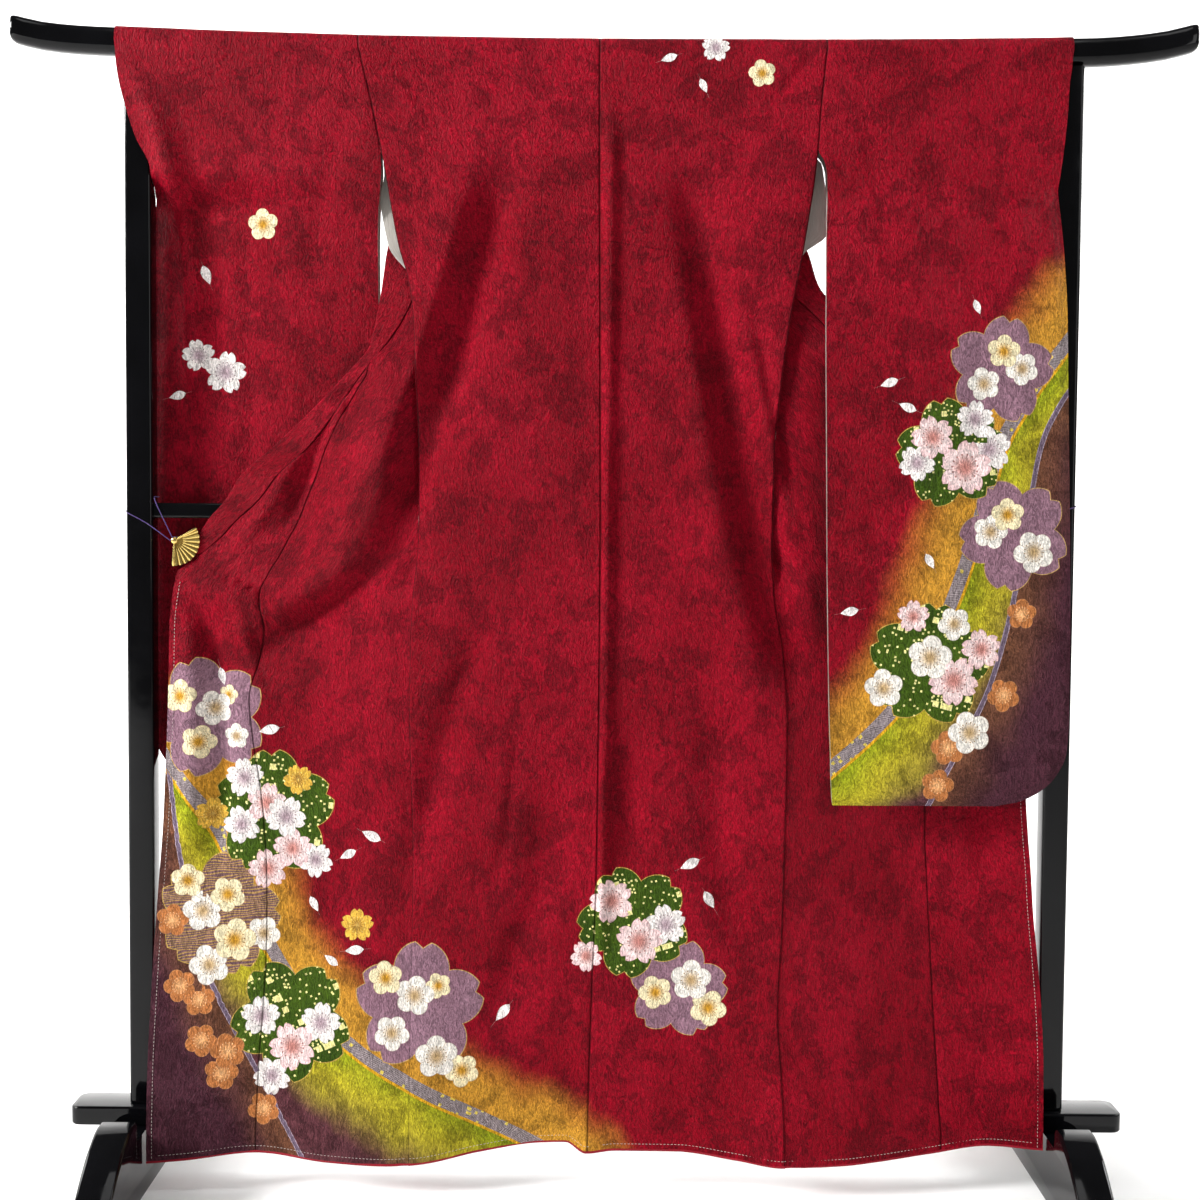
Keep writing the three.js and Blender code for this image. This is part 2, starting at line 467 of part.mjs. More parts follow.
// Overlap panel: from its seam to the collar seam, and below the collar to the free front edge.
function overlapPanel(side) {
  const s = sides[side];
  const top = FRONT[side].filter((row) => row.overlap !== none)[0].z;
  const heights = FRONT_HEIGHTS.filter((z) => z <= top);
  const columns = 5;
  const rowAt = (z, put) => {
    const from = read(FRONT[side], 'overlap', z) + SEAM_GAP;
    const row = FRONT[side].find((r) => r.z === z);
    const covered = row && row.collar !== none;
    const to = covered ? row.collar - 0.1 : read(FRONT[side], 'edge', z);
    const points = [];
    for (let c = 0; c < columns; c += 1) points.push(put(s * mix(from, to, c / (columns - 1)), z));
    return points;
  };
  const grid = heights.map((z) => rowAt(z, (x) => V(x, flapDepth(side, x, z), z)));
  grid.push(rowAt(LEVEL.hem, (x) => {
    const z = read(HEM, 'z', x, 'x');
    return V(x, flapDepth(side, x, z), z);
  }));
  return wall(grid, SILK_WALL);
}

// Depth of the outer layer of a front, shared by the overlap panel and the collar.
function flapDepth(side, x, z) {
  return bodyDepth(x, z) + frontLayout(side, z).tail(Math.abs(x));
}

// Neck: height of the collar's seam at the nape, its fall towards the shoulders, and the folded edge.
const NECK = { z: 1640.4, fall: 6, halfWide: 99, folded: 1596 };

// Collar: room behind the front above the shoulders, how far its folded edge drops there, half the
// room between its two leaves, and the width of the turned-in leaf.
const COLLAR = { behind: 3.7, drop: 34, leaf: 2.1, turnedIn: 26 };

// Where the collar rolls over behind each shoulder: it hangs down at the nape, stands out backwards
// at the corner of the neck and lies on the back of the front below.
// Each place gives the way from the seam to the folded edge.
const NECK_BEND = [
  { x: 62, back: 1.5, across: [10, 12.4, -41] }, { x: 76, back: 2.2, across: [14, 24.7, -39] },
  { x: 88, back: 3, across: [18, 33, -36] },
];
const ROLL = [
  { z: 1635, across: [19.7, 35.5, -35] }, { z: 1628, across: [28.6, 35.2, -30] },
  { z: 1621, across: [35.5, 30.9, -27] }, { z: 1614, across: [41.4, 23.6, -25] },
  { z: 1607, across: [46.3, 13.3, -26] },
];

// Collar: a band folded lengthwise, round the back of the neck and down both front edges.
function collarBand() {
  const nape = read(CENTRE, 'x', 1655);
  const rear = rodPoint(180, SILK_WALL / 2 + ROD_CLEAR).y;
  const seamHeight = (x) => NECK.z - (NECK.fall * Math.abs(x - nape)) / NECK.halfWide;
  const ends = (side) => {
    const s = sides[side];
    const rolled = (a, { across: [x, y, z] }) => ({ a, b: a.clone().add(V(s * x, y, z)) });
    const roll = ROLL.map((place) => {
      const x = read(FRONT[side], 'collar', place.z) + SEAM_GAP;
      const y = bodyDepth(s * x, place.z) + frontLayout(side, place.z).lift + COLLAR.behind;
      return rolled(V(s * x, y, place.z), place);
    });
    const bend = NECK_BEND.map((place) => rolled(
      V(s * place.x, rear + place.back, seamHeight(s * place.x)), place));
    const lower = FRONT[side].filter((row) => row.collar !== none && row.z < ROLL[0].z);
    return [...bend, ...roll, ...lower.map((row) => {
      const upper = row.z >= LEVEL.turned;
      const behind = (x) => bodyDepth(s * x, row.z) + frontLayout(side, row.z).lift + COLLAR.behind;
      const y = upper ? behind(row.collar) : flapDepth(side, s * row.collar, row.z);
      const yEdge = upper ? Math.max(y, behind(row.edge)) : flapDepth(side, s * row.edge, row.z);
      const drop = smooth((row.z - LEVEL.sewnSleeve) / 130) * COLLAR.drop;
      return {
        a: V(s * (row.collar + SEAM_GAP), y, row.z),
        b: V(s * row.edge, yEdge + (upper ? 3 : 0), row.z - drop),
        lie: row.z < 1600 ? V(0, 1, 0) : undefined,
      };
    })];
  };
  const neck = [46, nape, -50].map((x) => (
    { a: V(x, rear + 1.2, seamHeight(x)), b: V(x * 1.15, rear + 2.8, NECK.folded) }
  ));
  const pairs = [...ends('right').reverse(), ...neck, ...ends('left')];
  const grid = pairs.map(({ a, b, lie }, i) => {
    const across = b.clone().sub(a);
    // The turned-in leaf lies on the same side of the band all the way.
    const leafSide = lie ?? pairs[i + 1].b.clone().sub(pairs[i - 1].b).cross(across).normalize();
    const length = across.length();
    const dir = across.clone().normalize();
    const { leaf, turnedIn } = COLLAR;
    const at = (d, off) => a.clone().addScaledVector(dir, d).addScaledVector(leafSide, off);
    const points = [0, 0.34, 0.7].map((t) => at(t * (length - leaf), 0));
    for (let k = 0; k <= 4; k += 1) {
      const turn = (k / 4) * Math.PI;
      points.push(at(length - leaf + leaf * Math.sin(turn), leaf * (1 - Math.cos(turn))));
    }
    points.push(at(Math.max(0.25 * length, length - turnedIn), 2 * leaf));
    return points;
  });
  return wall(grid, COLLAR_WALL);
}

const ROD_REACH = { left: 695, right: 666 };     // how far out each sleeve lies on the rod
const CLOSED = { wide: 26, room: 0.3 };         // a sleeve's sewn outer edge: its taper and its inside room

// Sleeve: one strip, from the front layer's bottom over the rod to the rear layer's bottom.
function sleevePanel(side) {
  const s = sides[side];
  const table = SLEEVE[side];
  const columns = 8;
  const layer = (row, kind) => {
    const points = [];
    const reach = row[kind];
    const closed = smooth((LEVEL.postGap - row.z) / 20);
    const middleOut = (row.frontOut + row.rearOut) / 2;
    const sign = kind === 'front' ? -1 : 1;
    for (let c = 0; c < columns; c += 1) {
      const t = c / (columns - 1);
      const inner = row.z >= LEVEL.sewnSleeve ? read(SIDE[side], 'x', row.z) + SEAM_GAP : row.inner;
      const x = mix(inner, reach, 1 - (1 - t) ** 1.25);
      let y = mix(row[`${kind}In`], row[`${kind}Out`], smooth(t * 1.1));
      const close = smooth((x - (reach - CLOSED.wide)) / CLOSED.wide) * closed;
      y = mix(y, middleOut + sign * (SILK_WALL / 2 + CLOSED.room), close * close);
      y += sleeveWave(side, x, row.z) * (1 - close);
      points.push(V(s * x, y, row.z));
    }
    return points;
  };
  const rod = [];
  for (let k = 0; k <= ROD_ANGLES / 2; k += 1) {
    const p = rodPoint((k * 360) / ROD_ANGLES, SILK_WALL / 2 + ROD_CLEAR);
    const inner = read(SIDE[side], 'x', edgeHeight(p.up)) + SEAM_GAP;
    const row = [];
    for (let c = 0; c < columns; c += 1) {
      const t = c / (columns - 1);
      const x = s * mix(inner, ROD_REACH[side], 1 - (1 - t) ** 1.25);
      row.push(V(x, p.y, rodHeight(x) + p.up));
    }
    rod.push(row);
  }
  const fronts = [...table].reverse().map((row) => layer(row, 'front'));
  const rears = table.map((row) => layer(row, 'rear'));
  return wall([...fronts, ...rod, ...rears], SILK_WALL);
}

// Long soft waves of a hanging sleeve, shared by both its layers.
function sleeveWave(side, x, z) {
  const fade = smooth((1400 - z) / 200) * smooth((z - 560) / 160);
  const across = (x - 320) / 340;
  const lean = side === 'left' ? 0.9 : 0.4;
  return fade * (2.6 * Math.sin((across * 2.1 + (z / 900) * lean) * Math.PI));
}

// ---- stand -------------------------------------------------------------------------------------
const ROD_END = 0.76;               // size of the rod's bevelled end face
const ROD_STATIONS = [
  -845, -838, -822, -800, -775, -748, -700, -664, -600, -500, -400, -300, -200, -100, 0,
  100, 200, 300, 400, 500, 600, 664, 700, 748, 775, 800, 822, 838, 845,
];

function rodSolid() {
  const outline = [];
  for (let k = 0; k < ROD_ANGLES; k += 1) {
    const p = rodPoint((k * 360) / ROD_ANGLES, 0);
    outline.push([p.y, p.up]);
  }
  return sweep(outline, ROD_STATIONS.map((x) => ([y, up]) => {
    const size = Math.abs(x) === ROD.halfLong ? ROD_END : 1;
    return V(x, y * size, rodHeight(x) + up * size);
  }));
}

function postSolid(side) {
  const outline = cutRectangle(POST.halfWide, POST.halfDeep, POST.bevel);
  const x0 = sides[side] * POST.x;
  const top = (x) => rodHeight(x) - ROD.halfHigh - TOUCH;
  return sweep(outline, [
    ([x, y]) => V(x0 + x, y, POST.bottom),
    ([x, y]) => V(x0 + x, y, Math.min(top(x0 - POST.halfWide), top(x0 + POST.halfWide), top(x0))),
  ]);
}

function crossbarSolid() {
  const outline = cutRectangle(BAR.halfDeep, BAR.halfHigh, BAR.bevel);
  const reach = POST.x - POST.halfWide - TOUCH;
  return sweep(outline, [-reach, reach].map((x) => ([y, z]) => V(x, y, BAR.z + z)));
}

function boardSolid() {
  const outline = cutRectangle(BOARD.halfLong, BOARD.halfDeep, BOARD.corner);
  const soft = 3;
  const lower = BOARD.z - BOARD.halfHigh;
  const upper = BOARD.z + BOARD.halfHigh;
  const ring = (z, inset) => ([x, y]) => V(
    x * (1 - inset / BOARD.halfLong),
    y * (1 - inset / BOARD.halfDeep),
    z,
  );
  return sweep(outline, [ring(lower, soft), ring(lower + soft, 0), ring(upper - soft, 0), ring(upper, soft)]);
}

function footSolid(side) {
  const outline = [
    ...[...FOOT_TOP].reverse().map((p) => [-p.out, p.high]),
    [-FOOT.seatHalf, FOOT.seat],
    [FOOT.seatHalf, FOOT.seat],
    ...FOOT_TOP.map((p) => [p.out, p.high]),
  ];
  const s = sides[side];
  const middle = 40;
  const place = (x, inset) => ([y, z]) => {
    const lifted = z > FOOT.seat + 1 || (z > 0 && Math.abs(y) > FOOT.seatHalf + 1) ? inset : 0;
    const pull = Math.abs(y) > 200 ? Math.sign(y) * inset * 0.8 : 0;
    return V(s * x, y - pull, z > middle ? z - lifted : z);
  };
  return sweep(outline, [
    place(FOOT.inner, FOOT.bevel), place(FOOT.inner + FOOT.bevel, 0),
    place(FOOT.outer - FOOT.bevel, 0), place(FOOT.outer, FOOT.bevel),
  ]);
}

// ---- clips and cords ---------------------------------------------------------------------------
const CLIP = { radius: 37, ribs: 10, spread: 122, plate: 1.8, notch: 1.6, jaw: 1.4, gape: 7.2 };
const CLIPS = {
  left: { x: -612, z: 944, y: -21.6, tilt: -32 },
  right: { x: 634, z: 985, y: -21, tilt: 212 },
};
const PIN = { radius: 5, long: 9, sides: 14 };
const CORD = { radius: 0.8, sides: 8, steps: 26 };

const toManifold = (geometry) => new wasm.Manifold(new wasm.Mesh({
  numProp: 3,
  vertProperties: new Float32Array(geometry.attributes.position.array),
  triVerts: new Uint32Array(geometry.index.array),
}));

function fromManifold(body) {
  const mesh = body.getMesh();
  const geometry = new THREE.BufferGeometry();
  geometry.setAttribute('position', new THREE.BufferAttribute(new Float32Array(mesh.vertProperties), 3));
  geometry.setIndex(Array.from(mesh.triVerts));
  geometry.computeVertexNormals();
  return geometry;
}

// Open folding fan: a ribbed plate before the cloth, a jaw behind it and a pin beside its edge.
function fanClip(side) {
  const place = CLIPS[side];
  const steps = CLIP.ribs * 2;
  const rim = [];
  for (let i = 0; i <= steps; i += 1) {
    const a = ((place.tilt - CLIP.spread / 2 + (CLIP.spread * i) / steps) * Math.PI) / 180;
    rim.push({ a, r: CLIP.radius - (i % 2 ? 0 : CLIP.notch), raise: i % 2 ? CLIP.plate / 2 : 0 });
  }
  const points = [];
  const index = [];
  const add = (x, y, z) => points.push(V(x, y, z)) - 1;
  const rear = place.y + CLIP.plate / 2;
  const face = place.y - CLIP.plate / 2;
  const ring = (r0, scale) => rim.map(({ a, r, raise }) => {
    const d = r0 ?? r;
    const [x, z] = [place.x + d * Math.cos(a), place.z + d * Math.sin(a)];
    return { f: add(x, face - raise * scale, z), b: add(x, rear, z) };
  });
  const near = ring(4, 0.2);
  const far = ring(null, 1);
  for (let i = 0; i < steps; i += 1) {
    const [p, q, s, t] = [near[i], near[i + 1], far[i + 1], far[i]];
    index.push(p.f, s.f, q.f, p.f, t.f, s.f, p.b, q.b, s.b, p.b, s.b, t.b);
    index.push(t.f, t.b, s.b, t.f, s.b, s.f, p.f, q.f, q.b, p.f, q.b, p.b);
  }
  const [first, lastNear, firstFar, lastFar] = [near[0], near[steps], far[0], far[steps]];
  index.push(first.f, first.b, firstFar.b, first.f, firstFar.b, firstFar.f);
  index.push(lastNear.f, lastFar.f, lastFar.b, lastNear.f, lastFar.b, lastNear.b);
  const fan = toManifold(solid(points, index));
  const pin = new THREE.CylinderGeometry(PIN.radius, PIN.radius, PIN.long, PIN.sides);
  pin.translate(place.x, rear + CLIP.gape / 2, place.z);
  const mid = (place.tilt * Math.PI) / 180;
  const jawShape = sweep(
    [[-2, -6], [30, -9], [34, 0], [30, 9], [-2, 6]],
    [0, CLIP.jaw].map((d) => ([u, v]) => V(
      place.x + u * Math.cos(mid) - v * Math.sin(mid),
      rear + CLIP.gape + d,
      place.z + u * Math.sin(mid) + v * Math.cos(mid),
    )),
  );
  return fromManifold(fan.add(toManifold(weld(pin))).add(toManifold(jawShape)));
}

// Joins equal corners so that a ready-made shape becomes one closed body.
function weld(shape) {
  const source = shape.attributes.position;
  const seen = new Map();
  const points = [];
  const map = [];
  for (let i = 0; i < source.count; i += 1) {
    const p = V(source.getX(i), source.getY(i), source.getZ(i));
    const key = [p.x, p.y, p.z].map((v) => v.toFixed(4)).join();
    if (!seen.has(key)) {
      seen.set(key, points.length);
      points.push(p);
    }
    map.push(seen.get(key));
  }
  const index = [];
  const raw = shape.index ? Array.from(shape.index.array) : Array.from({ length: source.count }, (_, i) => i);
  for (let i = 0; i < raw.length; i += 3) {
    const [a, b, c] = [map[raw[i]], map[raw[i + 1]], map[raw[i + 2]]];
    if (a !== b && b !== c && a !== c) index.push(a, b, c);
  }
  return solid(points, index);
}

// Tie cord: from the clip round the post above the crossbar and back, both strands in sight.
function tieCord(side) {
  const s = sides[side];
  const { x, z, y } = CLIPS[side];
  const near = s * (POST.x - POST.halfWide - 1.6);
  const far = s * (POST.x + POST.halfWide + 1.6);
  const deep = POST.halfDeep + 1.8;
  const high = side === 'left' ? 1006 : 1005;
  const low = side === 'left' ? 985 : 1003;
  const start = side === 'left' ? V(x - 4, y + 4, z + 3.6) : V(x + 4, y + 5, z + 4);
  const close = side === 'left' ? V(x - 6.2, y + 2.4, z - 0.5) : V(x + 6.4, y + 3, z + 0.5);
  const path = [
    start, V(mix(x, near, 0.8), -20.5, mix(z, high, 0.8)), V(near, -12, high), V(near, 10, high + 0.5),
    V(near + s * 4, deep, high), V(far - s * 4, deep, mix(high, low, 0.4)), V(far, 10, mix(high, low, 0.7)),
    V(far, -12, low), V(far - s * 4, -deep - 1, low - 1.5),
    V(mix(far, x, 0.45), -22.2, mix(low, z, 0.4)), close,
  ];
  const curve = new THREE.CatmullRomCurve3(path, false, 'catmullrom', 0.35);
  const corners = [];
  for (let k = 0; k < CORD.sides; k += 1) {
    const a = (k * 2 * Math.PI) / CORD.sides;
    corners.push(new THREE.Vector2(CORD.radius * Math.cos(a), CORD.radius * Math.sin(a)));
  }
  const tube = new THREE.ExtrudeGeometry(new THREE.Shape(corners), {
    steps: CORD.steps, extrudePath: curve, bevelEnabled: false,
  });
  return weld(tube);
}

// ---- assembly ----------------------------------------------------------------------------------
const group = new THREE.Group();
const looks = {
  lacquer: { color: 0x0b0b0d, roughness: 0.12 },
  silk: { color: 0x9d1626, roughness: 0.62 },
  gold: { color: 0xc9a444, roughness: 0.35, metalness: 0.8 },
  cord: { color: 0x3f2570, roughness: 0.7 },
};
const addPiece = (name, look, geometry) => {
  const mesh = new THREE.Mesh(geometry, new THREE.MeshStandardMaterial(looks[look]));
  mesh.name = name;
  group.add(mesh);
};

addPiece('rod', 'lacquer', rodSolid());
addPiece('crossbar', 'lacquer', crossbarSolid());
addPiece('lower_rail', 'lacquer', boardSolid());
for (const side of ['left', 'right']) {
  addPiece(`post_${side}`, 'lacquer', postSolid(side));
  addPiece(`foot_${side}`, 'lacquer', footSolid(side));
  addPiece(`body_${side}`, 'silk', bodyPanel(side));
  addPiece(`overlap_${side}`, 'silk', overlapPanel(side));
  addPiece(`sleeve_${side}`, 'silk', sleevePanel(side));
  addPiece(`clip_${side}`, 'gold', fanClip(side));
  addPiece(`tie_cord_${side}`, 'cord', tieCord(side));
}
addPiece('collar', 'silk', collarBand());

export default group;
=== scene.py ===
"""Long-sleeved ceremonial kimono spread over a lacquered stand: cloth, dyed pattern, stand and light."""

import math

import bpy
import numpy as np
from mathutils import Matrix, Vector


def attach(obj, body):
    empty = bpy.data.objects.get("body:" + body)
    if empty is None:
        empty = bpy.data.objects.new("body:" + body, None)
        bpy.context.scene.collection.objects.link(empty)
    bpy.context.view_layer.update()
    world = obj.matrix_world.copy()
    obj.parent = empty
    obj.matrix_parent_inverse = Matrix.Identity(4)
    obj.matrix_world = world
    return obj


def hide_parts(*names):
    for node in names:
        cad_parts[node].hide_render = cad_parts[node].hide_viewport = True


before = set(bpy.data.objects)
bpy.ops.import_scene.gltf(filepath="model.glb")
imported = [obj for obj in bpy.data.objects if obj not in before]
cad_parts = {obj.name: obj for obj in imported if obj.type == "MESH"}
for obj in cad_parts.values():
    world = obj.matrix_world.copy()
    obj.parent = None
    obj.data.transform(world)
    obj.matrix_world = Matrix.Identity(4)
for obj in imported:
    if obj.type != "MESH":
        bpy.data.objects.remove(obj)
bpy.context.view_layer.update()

MM = 0.001

# ---- sizes, in millimetres; X to the viewer's right, Z up, the viewer on the -Y side ----------------
SEAM_GAP = -0.2        # two pieces sewn edge to edge lap by this much, so that no light shows between
SILK_WALL = 1.4        # crepe, lining and seam allowance together
COLLAR_WALL = 1.7
ROD_CLEAR = 0.35
ROD = dict(high=20, deep=18, long=845, squareness=2.6)
POST = dict(x=664, wide=19, deep=17.5, bottom=119.3)
BAR = dict(z=987, high=11, deep=11)
BOARD = dict(z=105, high=14, deep=32, long=767)
FOOT = dict(inner=652, outer=704, seat=90.7, seat_half=92)
SHOULDER_FOLD = dict(x=92, z=1667, slope=0.2271)
SIDES = {"left": -1, "right": 1}
SLEEVE_REACH = {"left": 695, "right": 666}      # how far out each sleeve lies on the rod
TUCK = dict(z=1371, slope=0.17, level_to=25)    # pressed line across the back, falling to the right
RED_BELOW = 430        # the lining is crimson below this height
NOWHERE = 900.0        # distance given to places that have no seam, tuck or stream near

# Heights at which the way the cloth hangs changes.
LEVEL = dict(
    shoulder=1635,         # the cloth leaves the rod
    turned=1517,           # above this a front lies wholly behind the back
    sewn_sleeve=1500,      # the sleeve is sewn to the body above this
    post_gap=1470,         # the upright passes between a sleeve's layers above this
    sewn_side=1370,        # back and front are sewn together at the side below this
    flap_shows=1330,       # a front starts to stand out past the side seam
    bend_opens=970,        # the bend of a front starts to open
    bend_gone=862,         # and here it lies flat
    hem_waves=430,         # the waves of the hem begin
    above_hem=110,         # rows of the mesh are level above this
    hem=60)                # the hem's own row


def table(names, rows):
    """Columns with names, from rows of sizes; None marks where a line does not exist."""
    return {name: [row[i] for row in rows] for i, name in enumerate(names.split())}


# The rod's middle line: it sags a little under the cloth and turns up at both ends.
ROD_LINE = table("x z", [
    (-845, 1672), (-838, 1670), (-800, 1661.5), (-748, 1656.5), (-700, 1654.5), (-664, 1653.2), (-500, 1648),
    (-260, 1643.5), (0, 1642), (300, 1643.2), (500, 1645.5), (664, 1649), (700, 1650), (748, 1653.5),
    (800, 1660.5), (838, 1670), (845, 1672)])

CENTRE = table("z x", [(1660, -6), (1261, -3), (900, 0), (480, -2), (309, -7), (60, -12)])

SIDE = {
    "left": table("z x", [
        (1676, 350), (1551, 326), (1489, 313), (1366, 290), (1315, 275), (1259, 267), (1051, 261),
        (948, 261), (844, 269), (717, 272), (478, 266), (265, 268), (44, 269)]),
    "right": table("z x", [
        (1676, 317), (1556, 308), (1487, 303), (1368, 286), (1263, 267), (1139, 252), (1051, 246),
        (952, 246), (868, 251), (785, 265), (679, 270), (398, 266), (269, 260), (183, 266), (46, 272)]),
}

# Spread fronts: free or folded edge, collar seam, seam of the overlap panel.
FRONT = {
    "left": table("z edge collar overlap", [
        (1635, 142, 99, None), (1600, 160, 107, None), (1560, 178, 118, None), (1517, 197, 136, None),
        (1470, 237, 176, None), (1417, 290, 228, None), (1366, 307, 247, None), (1312, 314, 262, None),
        (1268, 321, 280, None), (1225, 330, 308, None), (1189, 360, 338, 333), (1161, 386, 360, 349),
        (1120, 427, 388, 374), (1077, 473, 423, 395), (1037, 518, 466, 409), (1004, 538, 491, 423),
        (974, 564, 524, 434), (948, 580, 548, 448), (925, 597, 575, 460), (896, 610, None, 478),
        (863, 616, None, 492), (820, 620, None, 484), (767, 621, None, 492), (717, 622, None, 505),
        (660, 624, None, 500), (595, 627, None, 490), (530, 630, None, 483), (478, 634, None, 480),
        (410, 639, None, 479), (341, 643, None, 480), (265, 646, None, 484), (194, 648, None, 489),
        (132, 648.6, None, 492), (84, 649, None, 494)]),
    "right": table("z edge collar overlap", [
        (1635, 142, 99, None), (1600, 160, 107, None), (1560, 176, 116, None), (1517, 188, 127, None),
        (1470, 216, 155, None), (1417, 254, 192, None), (1366, 291, 232, None), (1312, 310, 262, None),
        (1268, 357, 308, None), (1225, 400, 346, 334), (1189, 436, 382, 350), (1161, 464, 410, 361),
        (1120, 505, 452, 378), (1077, 549, 497, 395), (1037, 586, 540, 409), (1004, 606, 571, 423),
        (974, 619, 600, 436), (948, 624, None, 449), (925, 625, None, 460), (896, 625, None, 474),
        (863, 624, None, 486), (820, 622, None, 488), (767, 620, None, 488), (717, 619, None, 484),
        (660, 618, None, 478), (595, 618, None, 472), (530, 622, None, 473), (478, 627, None, 476),
        (410, 632, None, 480), (341, 639, None, 484), (265, 645, None, 488), (194, 648, None, 493),
        (132, 648.6, None, 497), (84, 649, None, 501)]),
}

# How far the unsewn side edge of a front stands out past the edge of the back.
SIDE_SLIT = {
    "left": table("z out", [(1500, 0), (1488, 3), (1470, 4.6), (1440, 14), (1417, 17), (1366, 16), (1345, 9),
                            (1330, 0)]),
    "right": table("z out", [(1500, 0), (1492, 9), (1470, 15), (1440, 23), (1417, 27), (1388, 32),
                             (1379, 26), (1370, 14), (1362, 4), (1352, 0)]),
}

HANG = table("z back front", [
    (1655, -19.7, 19.7), (1635, -20, 19.8), (1560, -24, 12), (1500, -28, 2), (1417, -32, -12),
    (1330, -35, -25), (1250, -37, -31), (1100, -40, -34.6), (900, -43, -38), (600, -47, -42),
    (300, -52, -47), (60, -56, -51)])

HEM = table("x y z", [
    (-665, -58, 46), (-600, -56, 50), (-493, -42, 58), (-385, -64, 52), (-298, -72, 50), (-254, -68, 52),
    (-167, -46, 64), (-81, -35, 74), (-44, -35, 75), (-14, -46, 62), (28, -44, 66), (115, -45, 66),
    (202, -58, 58), (270, -72, 52), (354, -70, 55), (397, -64, 58), (484, -48, 66), (570, -36, 74),
    (665, -44, 70)])

# Soft folds: how deep they sink (+) or rise (-), half width, and their line down the cloth.
FOLDS = [
    (19.7, 34, [(1520, -140), (1372, -172), (1148, -229), (922, -307), (739, -500)]),
    (-9, 36, [(1500, -205), (1260, -262), (1060, -330), (900, -400), (760, -560)]),
    (19.7, 34, [(1520, 120), (1366, 144), (1140, 183), (914, 233), (690, 284)]),
    (-9, 30, [(1400, 95), (1200, 130), (1000, 160), (800, 205), (640, 235)]),
    (10.7, 26, [(860, -165), (703, -209), (590, -239), (430, -262)]),
    (10.7, 30, [(640, -74), (464, -77), (351, -117), (200, -140)]),
    (9, 26, [(720, 40), (577, 43), (420, 52)]),
    (10.7, 28, [(760, 158), (577, 172), (457, 184), (300, 235)]),
    (-8, 9, [(1600, 10), (1100, 9), (700, 8), (300, 4)]),
    (2.9, 7, [(1655, 300), (1630, 286), (1596, 262), (1560, 242)]),
    (-2.3, 6, [(1650, 282), (1620, 262), (1590, 236)]),
    (3.2, 8, [(1655, -318), (1622, -296), (1580, -268), (1530, -240)]),
    (-4.3, 12, [(1480, -190), (1360, -215), (1210, -262), (1060, -300)]),
    (4.3, 10, [(1330, 215), (1200, 232), (1060, 262), (900, 300)]),
    (-5.4, 14, [(1360, 178), (1160, 222), (960, 268), (760, 316)]),
    (3.6, 8, [(700, -120), (560, -128), (420, -150)]),
    (12.4, 20, [(905, -596), (800, -563), (640, -548), (430, -556)]),
    (-9, 20, [(900, -606), (790, -590), (640, -588), (420, -600)]),
    (12.4, 22, [(960, 600), (850, 560), (660, 550), (430, 560)]),
]

# Sharper creases of the spread fronts only, pulled towards the clips.
FLAP_CREASES = {
    "left": [
        (7.3, 9, [(1240, -338), (1160, -360), (1075, -362)]),
        (9.1, 13, [(1130, -392), (1060, -416), (991, -440), (925, -472)]),
        (-7.3, 14, [(1150, -420), (1050, -450), (960, -500), (900, -545)]),
        (6.3, 10, [(925, -584), (890, -530), (866, -492), (800, -470)]),
        (-5.5, 12, [(900, -560), (840, -520), (760, -500), (640, -470)]),
    ],
    "right": [
        (9.1, 13, [(1150, 420), (1050, 450), (980, 490), (930, 560)]),
        (-7.3, 14, [(1100, 470), (1020, 520), (960, 570)]),
        (7.3, 12, [(930, 590), (860, 540), (780, 510), (600, 490)]),
    ],
}

# Folds of the sleeves, shared by both layers of each.
SLEEVE_FOLDS = {
    "left": [
        (-8, 16, [(1650, -690), (1590, -660), (1500, -626), (1410, -610), (1320, -600), (1090, -598)]),
        (6.5, 18, [(1610, -612), (1500, -584), (1400, -572), (1310, -560), (1120, -560)]),
        (2.5, 12, [(1640, -352), (1540, -372), (1420, -402), (1290, -420)]),
        (-2.5, 16, [(1560, -420), (1400, -440), (1200, -452), (1000, -440)]),
        (3, 14, [(1500, -500), (1300, -516), (1130, -510), (960, -520)]),
    ],
    "right": [
        (2.2, 12, [(1640, 352), (1540, 372), (1400, 396), (1240, 404)]),
        (-2.4, 15, [(1500, 430), (1300, 446), (1080, 452), (860, 448)]),
        (2.6, 13, [(1420, 520), (1200, 532), (980, 526), (760, 540)]),
        (-2.6, 14, [(1540, 600), (1340, 590), (1100, 596), (820, 590)]),
        (2.4, 11, [(1050, 380), (900, 386), (740, 396), (620, 404)]),
    ],
}

